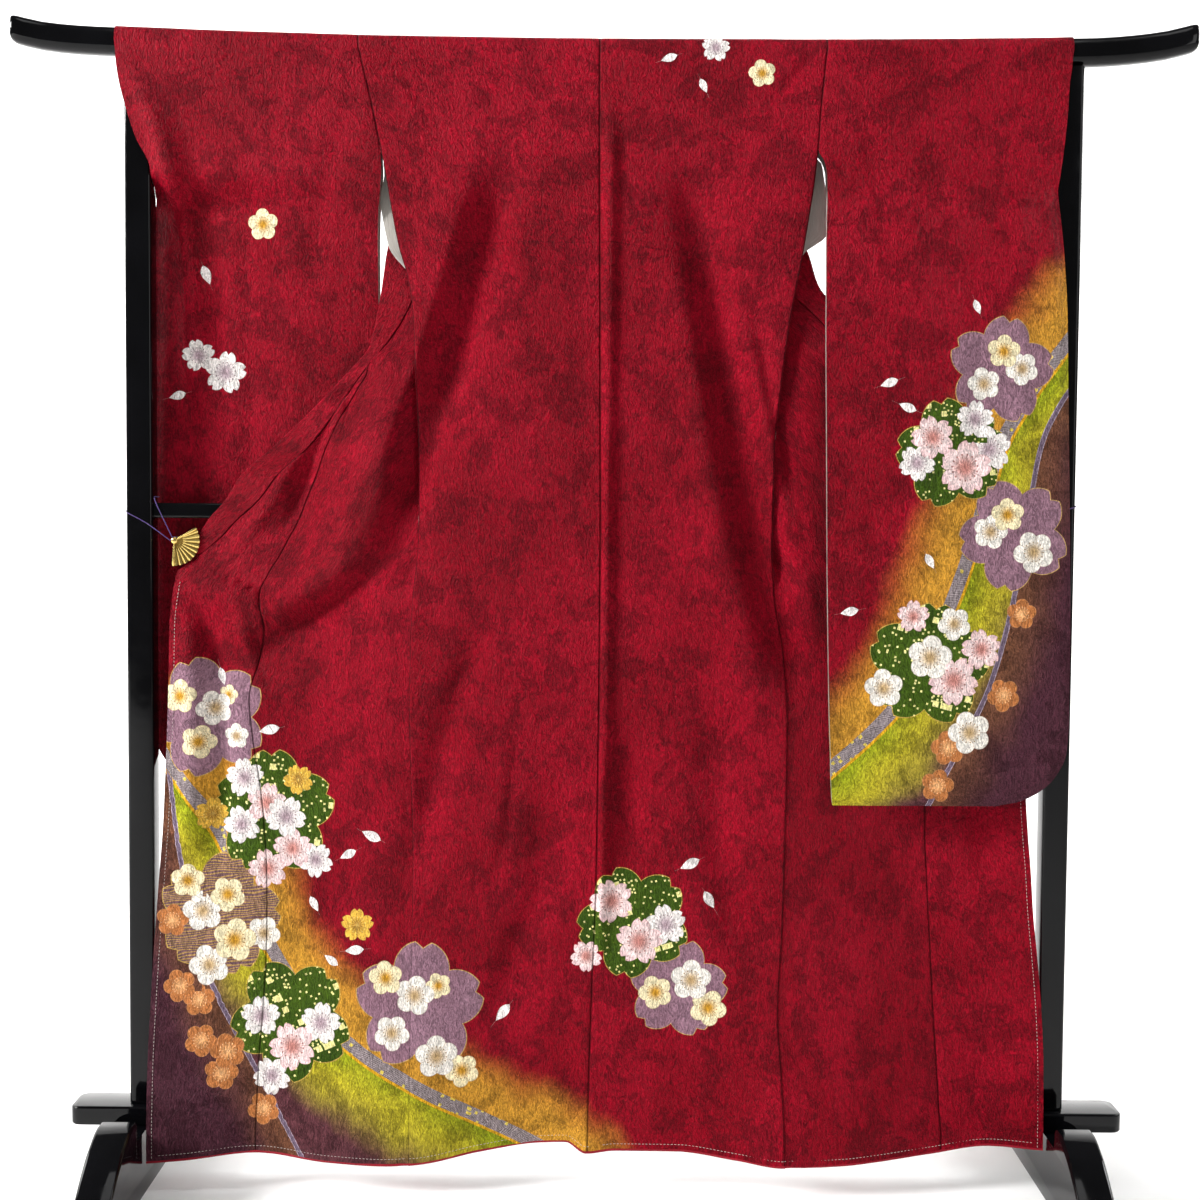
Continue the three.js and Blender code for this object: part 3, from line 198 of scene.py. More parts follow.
SLEEVE_KEYS = "z inner front rear front_in front_out rear_in rear_out"
SLEEVE = {
    "left": table(SLEEVE_KEYS, [
        (1635, 346.5, 693, 690, -20, -20, 19.8, 20), (1600, 336, 689, 687, -22, -20.5, 17, 20.5),
        (1560, 328, 679, 678, -24, -20.8, 12, 21), (1517, 319, 665, 665, -27, -20.8, 4.8, 21.5),
        (1470, 315, 644, 644, -28, -20.5, -1, 22), (1447, 317, 644.3, 644.3, -25, -6, 3, 19),
        (1432, 318, 644.5, 644.5, -22, 10, 6, 25), (1418, 320, 649, 649, -19, 17, 10, 29),
        (1350, 322, 649.4, 649.4, -8, 18, 18, 30),
        (1270, 322, 650, 650, 4, 22, 24, 32), (1180, 322, 653, 653, 14, 23, 27, 33),
        (1060, 323, 655, 655, 20, 24, 31, 34), (930, 324, 657, 657, 21, 24, 33, 34),
        (800, 326, 658, 658, 20, 23, 33, 33), (700, 328, 658, 658, 21, 23, 32, 32),
        (655, 329, 655, 655, 22, 23, 31, 31), (622, 330, 640, 640, 22.5, 23.5, 30, 30),
        (600, 331, 616, 616, 23, 24, 29.5, 29.5), (588, 332, 584, 584, 24.5, 24.8, 28, 28),
        (583, 333, 560, 560, 25.4, 25.4, 27.3, 27.3)]),
    "right": table(SLEEVE_KEYS, [
        (1635, 313.9, 664, 660, -20, -20, 19.8, 20), (1600, 311, 660, 656, -22, -21.5, 17, 20.5),
        (1560, 309, 658, 640, -24, -22.5, 12, 17), (1517, 306, 654, 640, -27, -24.5, 4.8, 7),
        (1470, 317, 648, 640, -31, -27, -8, -10), (1447, 317, 645, 645, -36, -30, -18, -22),
        (1410, 316, 648, 648, -44, -38, -32, -28), (1350, 315, 653, 653, -54, -46, -44, -34),
        (1270, 315, 657, 657, -62, -52, -51, -41), (1180, 316, 659, 659, -66, -56, -55, -44),
        (1060, 318, 662, 662, -70, -60, -59, -48), (930, 320, 665, 665, -73, -64, -62, -52),
        (800, 323, 667, 667, -75, -67, -64, -56), (700, 326, 667, 667, -76, -68, -66, -59),
        (652, 328, 664, 664, -76, -69, -67, -61), (618, 329, 648, 648, -76, -70, -68, -63),
        (596, 330, 624, 624, -75.5, -71, -69, -65), (582, 331, 592, 592, -74, -71.5, -70, -68),
        (577, 332, 566, 566, -73, -71.5, -71, -69.5)]),
}

# ---- the dyed design: places of its blossoms, patches and streams, in millimetres -------------------
# Codes of the motifs, which the dye reads as the third number of a motif's own coordinates.
WHITE_CHERRY, PINK_CHERRY, GOLD_CHERRY, CREAM_PLUM, WHITE_PLUM, COPPER_PLUM, PETAL = range(1, 8)
GREEN, MAUVE, WAVES = 1, 2, 3

# Each motif: across, height, radius, code, turn in degrees.  Earlier ones lie on top.
BLOSSOMS = {
    "spread": [
        (158, 1648, 21, WHITE_CHERRY, 10), (224, 1612, 20, CREAM_PLUM, 30), (92, 1633, 12, PETAL, 20),
        (141, 1594, 11, PETAL, 115),
        (-604, 720, 25, CREAM_PLUM, 12), (-556, 702, 26, WHITE_PLUM, 40), (-578, 654, 25, CREAM_PLUM, 70),
        (-524, 662, 19, WHITE_PLUM, 20), (-536, 722, 15, CREAM_PLUM, 5),
        (-512, 602, 30, WHITE_CHERRY, 25), (-452, 546, 31, WHITE_CHERRY, 60),
        (-480, 566, 30, PINK_CHERRY, 5),
        (-516, 534, 29, WHITE_CHERRY, 40), (-442, 500, 30, PINK_CHERRY, 20),
        (-408, 484, 27, WHITE_CHERRY, 50),
        (-478, 470, 30, PINK_CHERRY, 33), (-560, 548, 25, GOLD_CHERRY, 12), (-434, 600, 23, GOLD_CHERRY, 44),
        (-346, 392, 25, GOLD_CHERRY, 20),
        (-594, 452, 25, CREAM_PLUM, 15), (-536, 432, 26, CREAM_PLUM, 50), (-572, 408, 30, WHITE_PLUM, 30),
        (-526, 366, 32, CREAM_PLUM, 8), (-484, 376, 25, WHITE_PLUM, 62), (-562, 330, 30, WHITE_PLUM, 40),
        (-487, 256, 30, WHITE_CHERRY, 18), (-440, 214, 36, PINK_CHERRY, 44),
        (-398, 250, 31, WHITE_CHERRY, 10),
        (-470, 170, 29, WHITE_CHERRY, 52),
        (-304, 318, 25, CREAM_PLUM, 26), (-262, 294, 29, WHITE_PLUM, 6), (-228, 308, 19, CREAM_PLUM, 40),
        (-294, 240, 26, WHITE_PLUM, 58), (-230, 206, 31, WHITE_PLUM, 20), (-194, 184, 25, CREAM_PLUM, 48),
        (-616, 394, 24, COPPER_PLUM, 10), (-604, 300, 24, COPPER_PLUM, 40), (-576, 280, 24, COPPER_PLUM, 22),
        (-572, 222, 24, COPPER_PLUM, 60), (-534, 206, 26, COPPER_PLUM, 33), (-543, 174, 25, COPPER_PLUM, 8),
        (-482, 122, 24, COPPER_PLUM, 50),
        (-546, 748, 13, PETAL, 105), (-476, 672, 15, PETAL, 12), (-326, 522, 15, PETAL, -25),
        (-360, 494, 13, PETAL, 28), (-410, 420, 12, PETAL, 118), (-350, 356, 14, PETAL, 8),
        (-384, 340, 12, PETAL, -35), (-136, 266, 15, PETAL, 50),
        (20, 432, 33, PINK_CHERRY, 40), (60, 374, 35, PINK_CHERRY, 12), (98, 398, 31, WHITE_CHERRY, 30),
        (-16, 352, 24, PINK_CHERRY, 55), (84, 300, 25, CREAM_PLUM, 40), (135, 318, 30, WHITE_PLUM, 15),
        (160, 278, 27, CREAM_PLUM, 62), (132, 486, 15, PETAL, 25), (160, 434, 14, PETAL, 120)],
    "sleeve_left": [
        (-488, 1398, 23, CREAM_PLUM, 20), (-586, 1212, 24, WHITE_CHERRY, 30),
        (-548, 1188, 32, WHITE_CHERRY, 8),
        (-574, 1328, 14, PETAL, 110), (-617, 1154, 13, PETAL, 15)],
    "sleeve_right": [
        (528, 1282, 11, PETAL, 112), (404, 1174, 13, PETAL, 20), (430, 1140, 13, PETAL, -22),
        (464, 924, 12, PETAL, 120), (352, 852, 13, PETAL, 12),
        (566, 1220, 24, CREAM_PLUM, 14), (592, 1196, 24, WHITE_PLUM, 50), (538, 1174, 24, WHITE_PLUM, 33),
        (526, 1124, 28, WHITE_CHERRY, 12), (466, 1098, 32, PINK_CHERRY, 38),
        (444, 1062, 27, WHITE_CHERRY, 60),
        (512, 1056, 40, PINK_CHERRY, 8), (546, 1082, 34, WHITE_CHERRY, 28),
        (574, 990, 24, CREAM_PLUM, 22), (550, 966, 25, WHITE_PLUM, 5), (612, 938, 30, WHITE_PLUM, 45),
        (442, 846, 24, PINK_CHERRY, 18), (500, 836, 24, WHITE_PLUM, 48), (539, 800, 30, PINK_CHERRY, 30),
        (466, 788, 32, WHITE_PLUM, 10), (500, 756, 37, PINK_CHERRY, 52), (402, 744, 28, WHITE_PLUM, 25),
        (524, 682, 31, WHITE_PLUM, 36),
        (596, 850, 22, COPPER_PLUM, 15), (572, 735, 24, COPPER_PLUM, 48), (494, 660, 25, COPPER_PLUM, 30),
        (480, 606, 24, COPPER_PLUM, 5)],
}
PATCHES = {
    "spread": [
        (-470, 552, 94, GREEN, 20), (-442, 252, 92, GREEN, 50), (-548, 404, 92, WAVES, 5),
        (-566, 690, 90, MAUVE, 36), (-256, 278, 96, MAUVE, 14), (52, 402, 84, GREEN, 44),
        (116, 306, 74, MAUVE, 8)],
    "sleeve_left": [],
    "sleeve_right": [
        (492, 1076, 80, GREEN, 30), (562, 1194, 78, MAUVE, 8), (584, 962, 82, MAUVE, 44),
        (466, 778, 90, GREEN, 12)],
}
STREAMS = {
    "spread": dict(
        wide=[(-650, 664), (-612, 612), (-566, 548), (-515, 455), (-472, 355), (-410, 270), (-345, 215),
              (-240, 152), (-103, 80), (-30, 40)],
        thin=[(-632, 720), (-622, 620), (-594, 427), (-573, 340), (-494, 180), (-410, 30)]),
    "sleeve_right": dict(
        wide=[(690, 1274), (648, 1222), (600, 1155), (560, 1081), (534, 983), (496, 868), (426, 727),
              (325, 627), (280, 590)],
        thin=[(690, 1200), (650, 1150), (622, 1090), (606, 1010), (586, 880), (556, 760), (516, 670),
              (458, 560)]),
}


# ---- shape helpers ----------------------------------------------------------------------------------
def mix(a, b, t):
    return a + (b - a) * t


def smooth(t):
    k = np.clip(t, 0, 1)
    return k * k * (3 - 2 * k)


def read(rows, key, at, by="z"):
    """A column of a table at any height or place, with soft bends between its rows."""
    known = sorted((b, v) for b, v in zip(rows[by], rows[key]) if v is not None)
    x, y = np.array(known, float).T
    rise = np.diff(y) / np.diff(x)
    slope = np.zeros_like(y)
    before, after = rise[:-1], rise[1:]
    same = before * after > 0
    slope[1:-1][same] = (2 * before * after / np.where(same, before + after, 1))[same]
    at = np.clip(at, x[0], x[-1])
    i = np.clip(np.searchsorted(x, at) - 1, 0, len(x) - 2)
    h = x[i + 1] - x[i]
    t = (at - x[i]) / h
    return ((2 * t**3 - 3 * t**2 + 1) * y[i] + (t**3 - 2 * t**2 + t) * h * slope[i]
            + (3 * t**2 - 2 * t**3) * y[i + 1] + (t**3 - t**2) * h * slope[i + 1])


def waviness(x, z, wide, tall, seed):
    """Smooth unevenness from -1 to 1 with bumps about wide by tall millimetres."""
    knots = np.random.default_rng(seed).uniform(-1, 1, (64, 64))
    a, b = np.asarray(x) / wide + 31.3, np.asarray(z) / tall + 17.7
    i, j = np.floor(a).astype(int), np.floor(b).astype(int)
    u, v = smooth(a - i), smooth(b - j)
    return mix(mix(knots[i % 64, j % 64], knots[(i + 1) % 64, j % 64], u),
               mix(knots[i % 64, (j + 1) % 64], knots[(i + 1) % 64, (j + 1) % 64], u), v)


def folds(table_of_folds, x, z):
    """Sum of soft folds at places of the spread cloth."""
    y = np.zeros(np.broadcast(x, z).shape)
    for deep, wide, line in table_of_folds:
        ease_in = min(120, 0.4 * (line[0][0] - line[-1][0]))
        fade = smooth((line[0][0] - z) / ease_in) * smooth((z - line[-1][0]) / ease_in)
        y = y + deep * fade * np.exp(-(((x - read(table("z x", line), "x", z)) / wide) ** 2))
    return y


def depth(x, z):
    """How far the spread back lies from the middle plane, with its folds and small unevenness."""
    flap = smooth((np.abs(x) - 268) / 190) * smooth((LEVEL["sewn_sleeve"] - z) / 250)
    rest = read(HANG, "back", z) + 22 * flap
    waves = smooth((LEVEL["hem_waves"] - z) / (LEVEL["hem_waves"] - LEVEL["hem"]))
    y = mix(rest, read(HEM, "y", x, "x"), waves)
    return y + folds(FOLDS, x, z)


def fold_line(z):
    return SHOULDER_FOLD["x"] + (SHOULDER_FOLD["z"] - z) * SHOULDER_FOLD["slope"]


def rod_height(x):
    return read(ROD_LINE, "z", x, "x")


def rod_point(degrees, grow):
    """Depth and height of a point of the rod's section about its middle line."""
    a = np.radians(degrees)

    def power(v):
        return np.sign(v) * np.abs(v) ** (2 / ROD["squareness"])
    return -(ROD["deep"] + grow) * power(np.cos(a)), (ROD["high"] + grow) * power(np.sin(a))


def over_rod(side, columns_at, outer=None):
    """Cloth lying over the rod; columns_at gives across places between its two edges."""
    s = SIDES[side]
    ry, up = rod_point(np.linspace(0, 180, 19), SILK_WALL / 2 + ROD_CLEAR)
    ry, up = ry[:, None], up[:, None]
    at = np.minimum(1676, 1655 + up)
    start, stop = s * read(CENTRE, "x", at) + SEAM_GAP / 2, read(SIDE[side], "x", at)
    if outer is not None:
        start, stop = stop + SEAM_GAP, outer
    x = s * mix(start, stop, columns_at)
    return np.stack([x, np.broadcast_to(ry, x.shape), rod_height(x) + up], 2)


class Front:
    """How one front lies at each height: in from the side seam, round a bend, then outwards."""

    def __init__(self, side, z):
        self.z = z
        self.seam = read(SIDE[side], "x", z) + read(SIDE_SLIT[side], "out", z) - 0.4
        gap = mix(5, 8, smooth((z - 900) / 300))
        self.lift = read(HANG, "front", z) - read(HANG, "back", z)
        self.start = mix(self.lift, 1.9, smooth((LEVEL["sewn_side"] - z) / 60))
        opening = (z - LEVEL["bend_gone"]) / (LEVEL["bend_opens"] - LEVEL["bend_gone"])
        self.turn = np.pi * smooth(opening)
        self.first = np.maximum(8, self.seam - fold_line(z) - gap / 2)
        self.bend = np.pi * gap / 2
        self.after_x, self.after_off = self.arc(1.0)

    def head(self, s):
        return (self.seam + s * np.cos(self.turn),
                mix(self.start, self.lift, smooth(s / 20)) + s * np.sin(self.turn))

    def arc(self, t):
        x, off = self.head(self.first)
        bent = self.turn > 0.01
        radius = self.bend / np.where(bent, self.turn, 1)
        left = self.turn * (1 - t)
        return (x + np.where(bent, radius * (np.sin(self.turn) - np.sin(left)), self.bend * t),
                off + np.where(bent, radius * (np.cos(left) - np.cos(self.turn)), 0))

    def tail(self, x):
        outside = smooth((x - self.seam) / 60) * smooth((LEVEL["flap_shows"] - self.z) / 160)
        return mix(self.after_off, 1.2, outside)

    def point(self, s):
        """Across, depth behind the back, and whether the place is on the part that shows."""
        hx, ho = self.head(s)
        ax, ao = self.arc(np.clip((s - self.first) / self.bend, 0, 1))
        tx = self.after_x + s - self.first - self.bend
        out = s > self.first + self.bend
        mid = (s > self.first) & ~out
        x = np.where(out, tx, np.where(mid, ax, hx))
        off = np.where(out, self.tail(tx), np.where(mid, ao, ho))
        return x, off, out | (self.turn < 0.4)


def front_end(side, z):
    """Where a front meets its overlap panel, or the collar above it."""
    rows = FRONT[side]
    top = max(h for h, v in zip(rows["z"], rows["overlap"]) if v is not None)
    return mix(read(rows, "overlap", z), read(rows, "collar", z), smooth((z - top) / 34))


def flap_depth(side, x, z):
    """Depth of the outer layer of a front, with the creases that the clip pulls in."""
    s = SIDES[side]
    base = depth(s * x, z) + Front(side, z).tail(x)
    return base + folds(FLAP_CREASES[side], s * x, z) * smooth((x - Front(side, z).seam - 20) / 50)


def seam_sink(d, along, seed):
    """Dip of the cloth beside a seam, with the small puckers that the stitches draw in."""
    pucker = 0.5 + 0.5 * waviness(along, d * 0 + seed, 7, 50, seed)
    return 0.9 * np.exp(-((d / 2.4) ** 2)) + 0.55 * pucker * np.exp(-((d / 9) ** 2))


# ---- building meshes --------------------------------------------------------------------------------
def new_object(name, points, faces, materials, slot, ids=None, smooth_up_to=40):
    """A mesh object from corners in millimetres, with the given materials; it rides on the frame. The slot
    argument is not used.
    """
    mesh = bpy.data.meshes.new(name)
    mesh.from_pydata((np.asarray(points, float) * MM).tolist(), [], [list(map(int, f)) for f in faces])
    for material in materials:
        mesh.materials.append(material)
    if ids is not None:
        mesh.polygons.foreach_set("material_index", np.asarray(ids, np.int32))
    mesh.polygons.foreach_set("use_smooth", np.ones(len(mesh.polygons), bool))
    mesh.set_sharp_from_angle(angle=math.radians(smooth_up_to))
    mesh.update()
    obj = bpy.data.objects.new(name, mesh)
    bpy.context.scene.collection.objects.link(obj)
    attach(obj, "root")
    return obj


def note(mesh, name, values, kind="FLOAT_VECTOR", domain="POINT"):
    """Stores numbers on a mesh for its material to read."""
    layer = mesh.attributes.new(name, kind, domain)
    layer.data.foreach_set("vector" if kind == "FLOAT_VECTOR" else "value",
                           np.asarray(values, np.float32).ravel())


def stream(points, x, z, flip):
    """Signed distance from a stream's middle line and the place along it."""
    knots = np.array(points, float)
    steps = np.linspace(0, len(knots) - 1, 40 * (len(knots) - 1) + 1)
    rows = dict(i=list(range(len(knots))), x=knots[:, 0].tolist(), z=knots[:, 1].tolist())
    line = np.stack([read(rows, "x", steps, "i"), read(rows, "z", steps, "i")], 1)
    along = np.concatenate([[0], np.cumsum(np.linalg.norm(np.diff(line, axis=0), axis=1))])
    way = np.gradient(line, axis=0)
    way /= np.linalg.norm(way, axis=1)[:, None]
    place = np.stack([x, z], 1)
    near = np.array([np.argmin(((line - p) ** 2).sum(1)) for p in place])
    off = place - line[near]
    sign = np.sign(way[near, 0] * off[:, 1] - way[near, 1] * off[:, 0]) * flip
    return sign * np.linalg.norm(off, axis=1), along[near]


def motif_layers(motifs, x, z, shown, corners):
    """For each face, its two topmost motifs' own coordinates at every corner."""
    fx, fz = x[corners].mean(1), z[corners].mean(1)
    face_shown = shown[corners].min(1) > 0.5
    cx, cz = x[corners], z[corners]
    layers = [np.zeros((*corners.shape, 3)), np.zeros((*corners.shape, 3))]
    used = np.zeros(len(corners), int)
    for mx, mz, radius, code, turn in motifs:
        hit = face_shown & (np.hypot(fx - mx, fz - mz) < radius + 9) & (used < 2)
        a = math.radians(turn)
        u = ((cx - mx) * math.cos(a) + (cz - mz) * math.sin(a)) / radius
        v = ((cz - mz) * math.cos(a) - (cx - mx) * math.sin(a)) / radius
        own = np.stack([u, v, np.full_like(u, code)], 2)
        for level in (0, 1):
            here = hit & (used == level)
            layers[level][here] = own[here]
        used[hit] += 1
    return layers


def cloth(name, grid, sink, outer, place, shown, design, lined, flat, along, red_below=None,
          thick=SILK_WALL, tuck=None, seam=None):
    """A closed wall of cloth on a grid of points, with the dye's and the weave's coordinates on it.

    outer is 1 where the outside lies on the across-by-along side of the grid.  place is the pattern's
    own (x, z) for every grid point, lined says which material its inside has."""
    rows, cols = grid.shape[:2]
    down = np.gradient(grid, axis=0)
    side = np.gradient(grid, axis=1)
    normal = np.cross(side, down)
    normal /= np.linalg.norm(normal, axis=2)[:, :, None] + 1e-9
    normal *= outer
    middle = grid - normal * sink[:, :, None]
    points = np.concatenate([(middle + normal * thick / 2).reshape(-1, 3),
                             (middle - normal * thick / 2).reshape(-1, 3)])
    ids = np.arange(rows * cols).reshape(rows, cols)
    half = rows * cols
    quads = np.stack([ids[:-1, :-1], ids[:-1, 1:], ids[1:, 1:], ids[1:, :-1]], -1).reshape(-1, 4)
    if outer < 0:
        quads = quads[:, ::-1]
    ring = np.concatenate([ids[0, :-1], ids[:-1, -1], ids[-1, :0:-1], ids[:0:-1, 0]])
    ahead = np.roll(ring, -1)
    rim = np.stack([ahead, ring, ring + half, ahead + half], 1)
    if outer < 0:
        rim = rim[:, ::-1]
    faces = np.concatenate([quads, quads[:, ::-1] + half, rim])
    inside = np.full(len(quads), 1)
    if red_below is not None:
        inside[grid[:, :, 2].ravel()[quads].mean(1) < red_below] = 2
    index = np.concatenate([np.zeros(len(quads)), inside, np.zeros(len(rim))])
    obj = new_object(name, points, faces, [DYED_CREPE, *lined], "silk_crepe", index, 50)
    x, z = (np.tile(np.asarray(p, float).ravel(), 2) for p in place)
    seen = np.tile(np.asarray(shown, float).ravel(), 2)
    mesh = obj.data
    bolt = sum(map(ord, name)) % 17 * 40.0      # each piece shows another stretch of the woven figure
    note(mesh, "weave_place", np.stack([np.tile(flat.ravel(), 2), np.tile(along.ravel(), 2),
                                        np.full(2 * half, bolt)], 1))
    lines = STREAMS.get(design)
    for key in ("wide", "thin"):
        if lines is None:
            far = np.full(2 * half, -NOWHERE)
            track = far * 0
        else:
            far, track = stream(lines[key], x, z, -1 if design == "spread" else 1)
            far = np.where(seen > 0.5, far, -NOWHERE)
        note(mesh, key + "_stream", np.stack([far, track, far * 0], 1))
    for key, values in (("tuck", tuck), ("seam_distance", seam)):
        far = np.full(2 * half, NOWHERE) if values is None else np.tile(np.asarray(values).ravel(), 2)
        note(mesh, key, far, "FLOAT")
    for key, motifs in (("blossom", BLOSSOMS[design]), ("patch", PATCHES[design])):
        for level, layer in enumerate(motif_layers(motifs, x, z, seen, faces)):
            note(mesh, f"{key}_{level}", layer, domain="CORNER")
    return obj


def tube(line, radius, sides=8):
    """Corners and faces of a closed round tube along a line of points."""
    line = np.asarray(line, float)
    way = np.gradient(line, axis=0)
    way /= np.linalg.norm(way, axis=1)[:, None]
    up = np.array([0.0, 0.0, 1.0]) if abs(way[0, 2]) < 0.9 else np.array([0.0, 1.0, 0.0])
    points = []
    radius = np.broadcast_to(radius, len(line))
    for p, t, r in zip(line, way, radius):
        a = np.cross(t, up)
        a /= np.linalg.norm(a)
        up = np.cross(a, t)
        for k in range(sides):
            w = 2 * np.pi * k / sides
            points.append(p + r * (np.cos(w) * a + np.sin(w) * up))
    faces = []
    for i in range(len(line) - 1):
        for k in range(sides):
            j = (k + 1) % sides
            faces.append((i * sides + k, i * sides + j, (i + 1) * sides + j, (i + 1) * sides + k))
    faces.append(tuple(range(sides))[::-1])
    end = (len(line) - 1) * sides
    faces.append(tuple(range(end, end + sides)))
    return points, faces


def joined(parts):
    """Several (corners, faces) as one."""
    points, faces = [], []
    for p, f in parts:
        base = len(points)
        points.extend(p)
        faces.extend(tuple(i + base for i in face) for face in f)
    return points, faces


def swept(outline, stations):
    """An outline placed at each station in turn and joined into a closed form."""
    n = len(outline)
    points = [place(p) for place in stations for p in outline]
    faces = [tuple(range(n))[::-1]]
    for s in range(len(stations) - 1):
        for i in range(n):
            j = (i + 1) % n
            faces.append((s * n + i, s * n + j, (s + 1) * n + j, (s + 1) * n + i))
    faces.append(tuple(range((len(stations) - 1) * n, len(stations) * n)))
    return points, faces


def outward(points, faces):
    """Turns the faces round if the form is inside out."""
    p = np.asarray(points, float)
    volume = sum(np.dot(p[f[0]], np.cross(p[f[i]], p[f[i + 1]]))
                 for f in faces for i in range(1, len(f) - 1))
    return points, faces if volume > 0 else [tuple(f)[::-1] for f in faces]


def rounded_box(w, h, r, steps=5):
    """Rectangle with rounded corners, anticlockwise."""
    out = []
    corners = ((w - r, h - r, 0), (-w + r, h - r, 90), (-w + r, -h + r, 180), (w - r, -h + r, 270))
    for cx, cy, start in corners:
        for k in range(steps + 1):
            a = math.radians(start + 90 * k / steps)
            out.append((cx + r * math.cos(a), cy + r * math.sin(a)))
    return out


# ---- finishes ---------------------------------------------------------------------------------------
def linear(code):
    """sRGB hex to linear colour."""
    part = [int(code[i:i + 2], 16) / 255 for i in (0, 2, 4)]
    return (*[c / 12.92 if c <= 0.04045 else ((c + 0.055) / 1.055) ** 2.4 for c in part], 1)


# Settings that many nodes share: a share that eases from 0 to 1, and a mix of two colours.
SOFT_STEP = dict(interpolation_type="SMOOTHSTEP", clamp=True)
COLOUR_MIX = dict(out=2, data_type="RGBA")


def add(tree, kind, feeds=(), out=0, stops=None, **settings):
    """Adds one node: settings go on it, feeds into its sockets, stops into its colour ramp."""
    made = tree.nodes.new("ShaderNode" + kind)
    for name, value in settings.items():
        setattr(made, name, value)
    if stops:
        ramp = made.color_ramp.elements
        while len(ramp) < len(stops):
            ramp.new(1)
        for element, (at, code) in zip(ramp, stops):
            element.position, element.color = at, linear(code)
    for socket, value in (feeds.items() if isinstance(feeds, dict) else enumerate(feeds)):
        if isinstance(value, bpy.types.NodeSocket):
            tree.links.new(value, made.inputs[socket])
        elif value is not None:
            made.inputs[socket].default_value = value
    return made.outputs[out]


def finish(name, **shader):
    """A material with a principled shader; returns its tree, the shader and the material."""
    material = bpy.data.materials.new(name)
    material.use_nodes = True
    tree = material.node_tree
    surface = tree.nodes["Principled BSDF"]
    for key, value in shader.items():
        surface.inputs[key.replace("_", " ").title().replace("Ior", "IOR")].default_value = value
    return tree, surface, material


def flower_shape(tree, key, reach, lobe, notch, plum_reach=None, plum_lobe=None):
    """Five-petalled outline in a motif's own coordinates.

    Each petal is a circle of size lobe centred at reach; notch cuts the tips of cherry petals."""
    own = add(tree, "Attribute", attribute_name=key, out=1)
    parts = tree.nodes.new("ShaderNodeSeparateXYZ")
    tree.links.new(own, parts.inputs[0])
    u, v, code = parts.outputs
    r = add(tree, "VectorMath", {0: add(tree, "CombineXYZ", (u, v, 0))}, out=1, operation="LENGTH")
    angle = add(tree, "Math", (v, u), operation="ARCTAN2")
    a = add(tree, "Math", (angle, math.pi / 5), operation="PINGPONG")
    plum = add(tree, "Math", (code, 3.5), operation="GREATER_THAN")
    if plum_reach is not None:
        reach = add(tree, "MapRange", {0: plum, 3: reach, 4: plum_reach})
        lobe = add(tree, "MapRange", {0: plum, 3: lobe, 4: plum_lobe})
        notch = add(tree, "MapRange", {0: plum, 3: notch, 4: 0.0})
    near = add(tree, "Math", (reach, add(tree, "Math", (a,), operation="COSINE")), operation="MULTIPLY")
    off = add(tree, "Math", (reach, add(tree, "Math", (a,), operation="SINE")), operation="MULTIPLY")
    rest = add(tree, "Math", (add(tree, "Math", (lobe, lobe), operation="MULTIPLY"),
                              add(tree, "Math", (off, off), operation="MULTIPLY")), operation="SUBTRACT")
    far = add(tree, "Math", (add(tree, "Math", (rest, 0.0), operation="MAXIMUM"),), operation="SQRT")
    cut = add(tree, "Math", (notch, add(tree, "MapRange", {0: a, 1: 0.0, 2: 0.13, 3: 1.0, 4: 0.0})),
              operation="MULTIPLY")
    edge = add(tree, "Math", (add(tree, "Math", (near, far), operation="ADD"), cut), operation="SUBTRACT")
    inside = add(tree, "Math", (edge, r), operation="SUBTRACT")
    return u, v, code, r, angle, a, inside


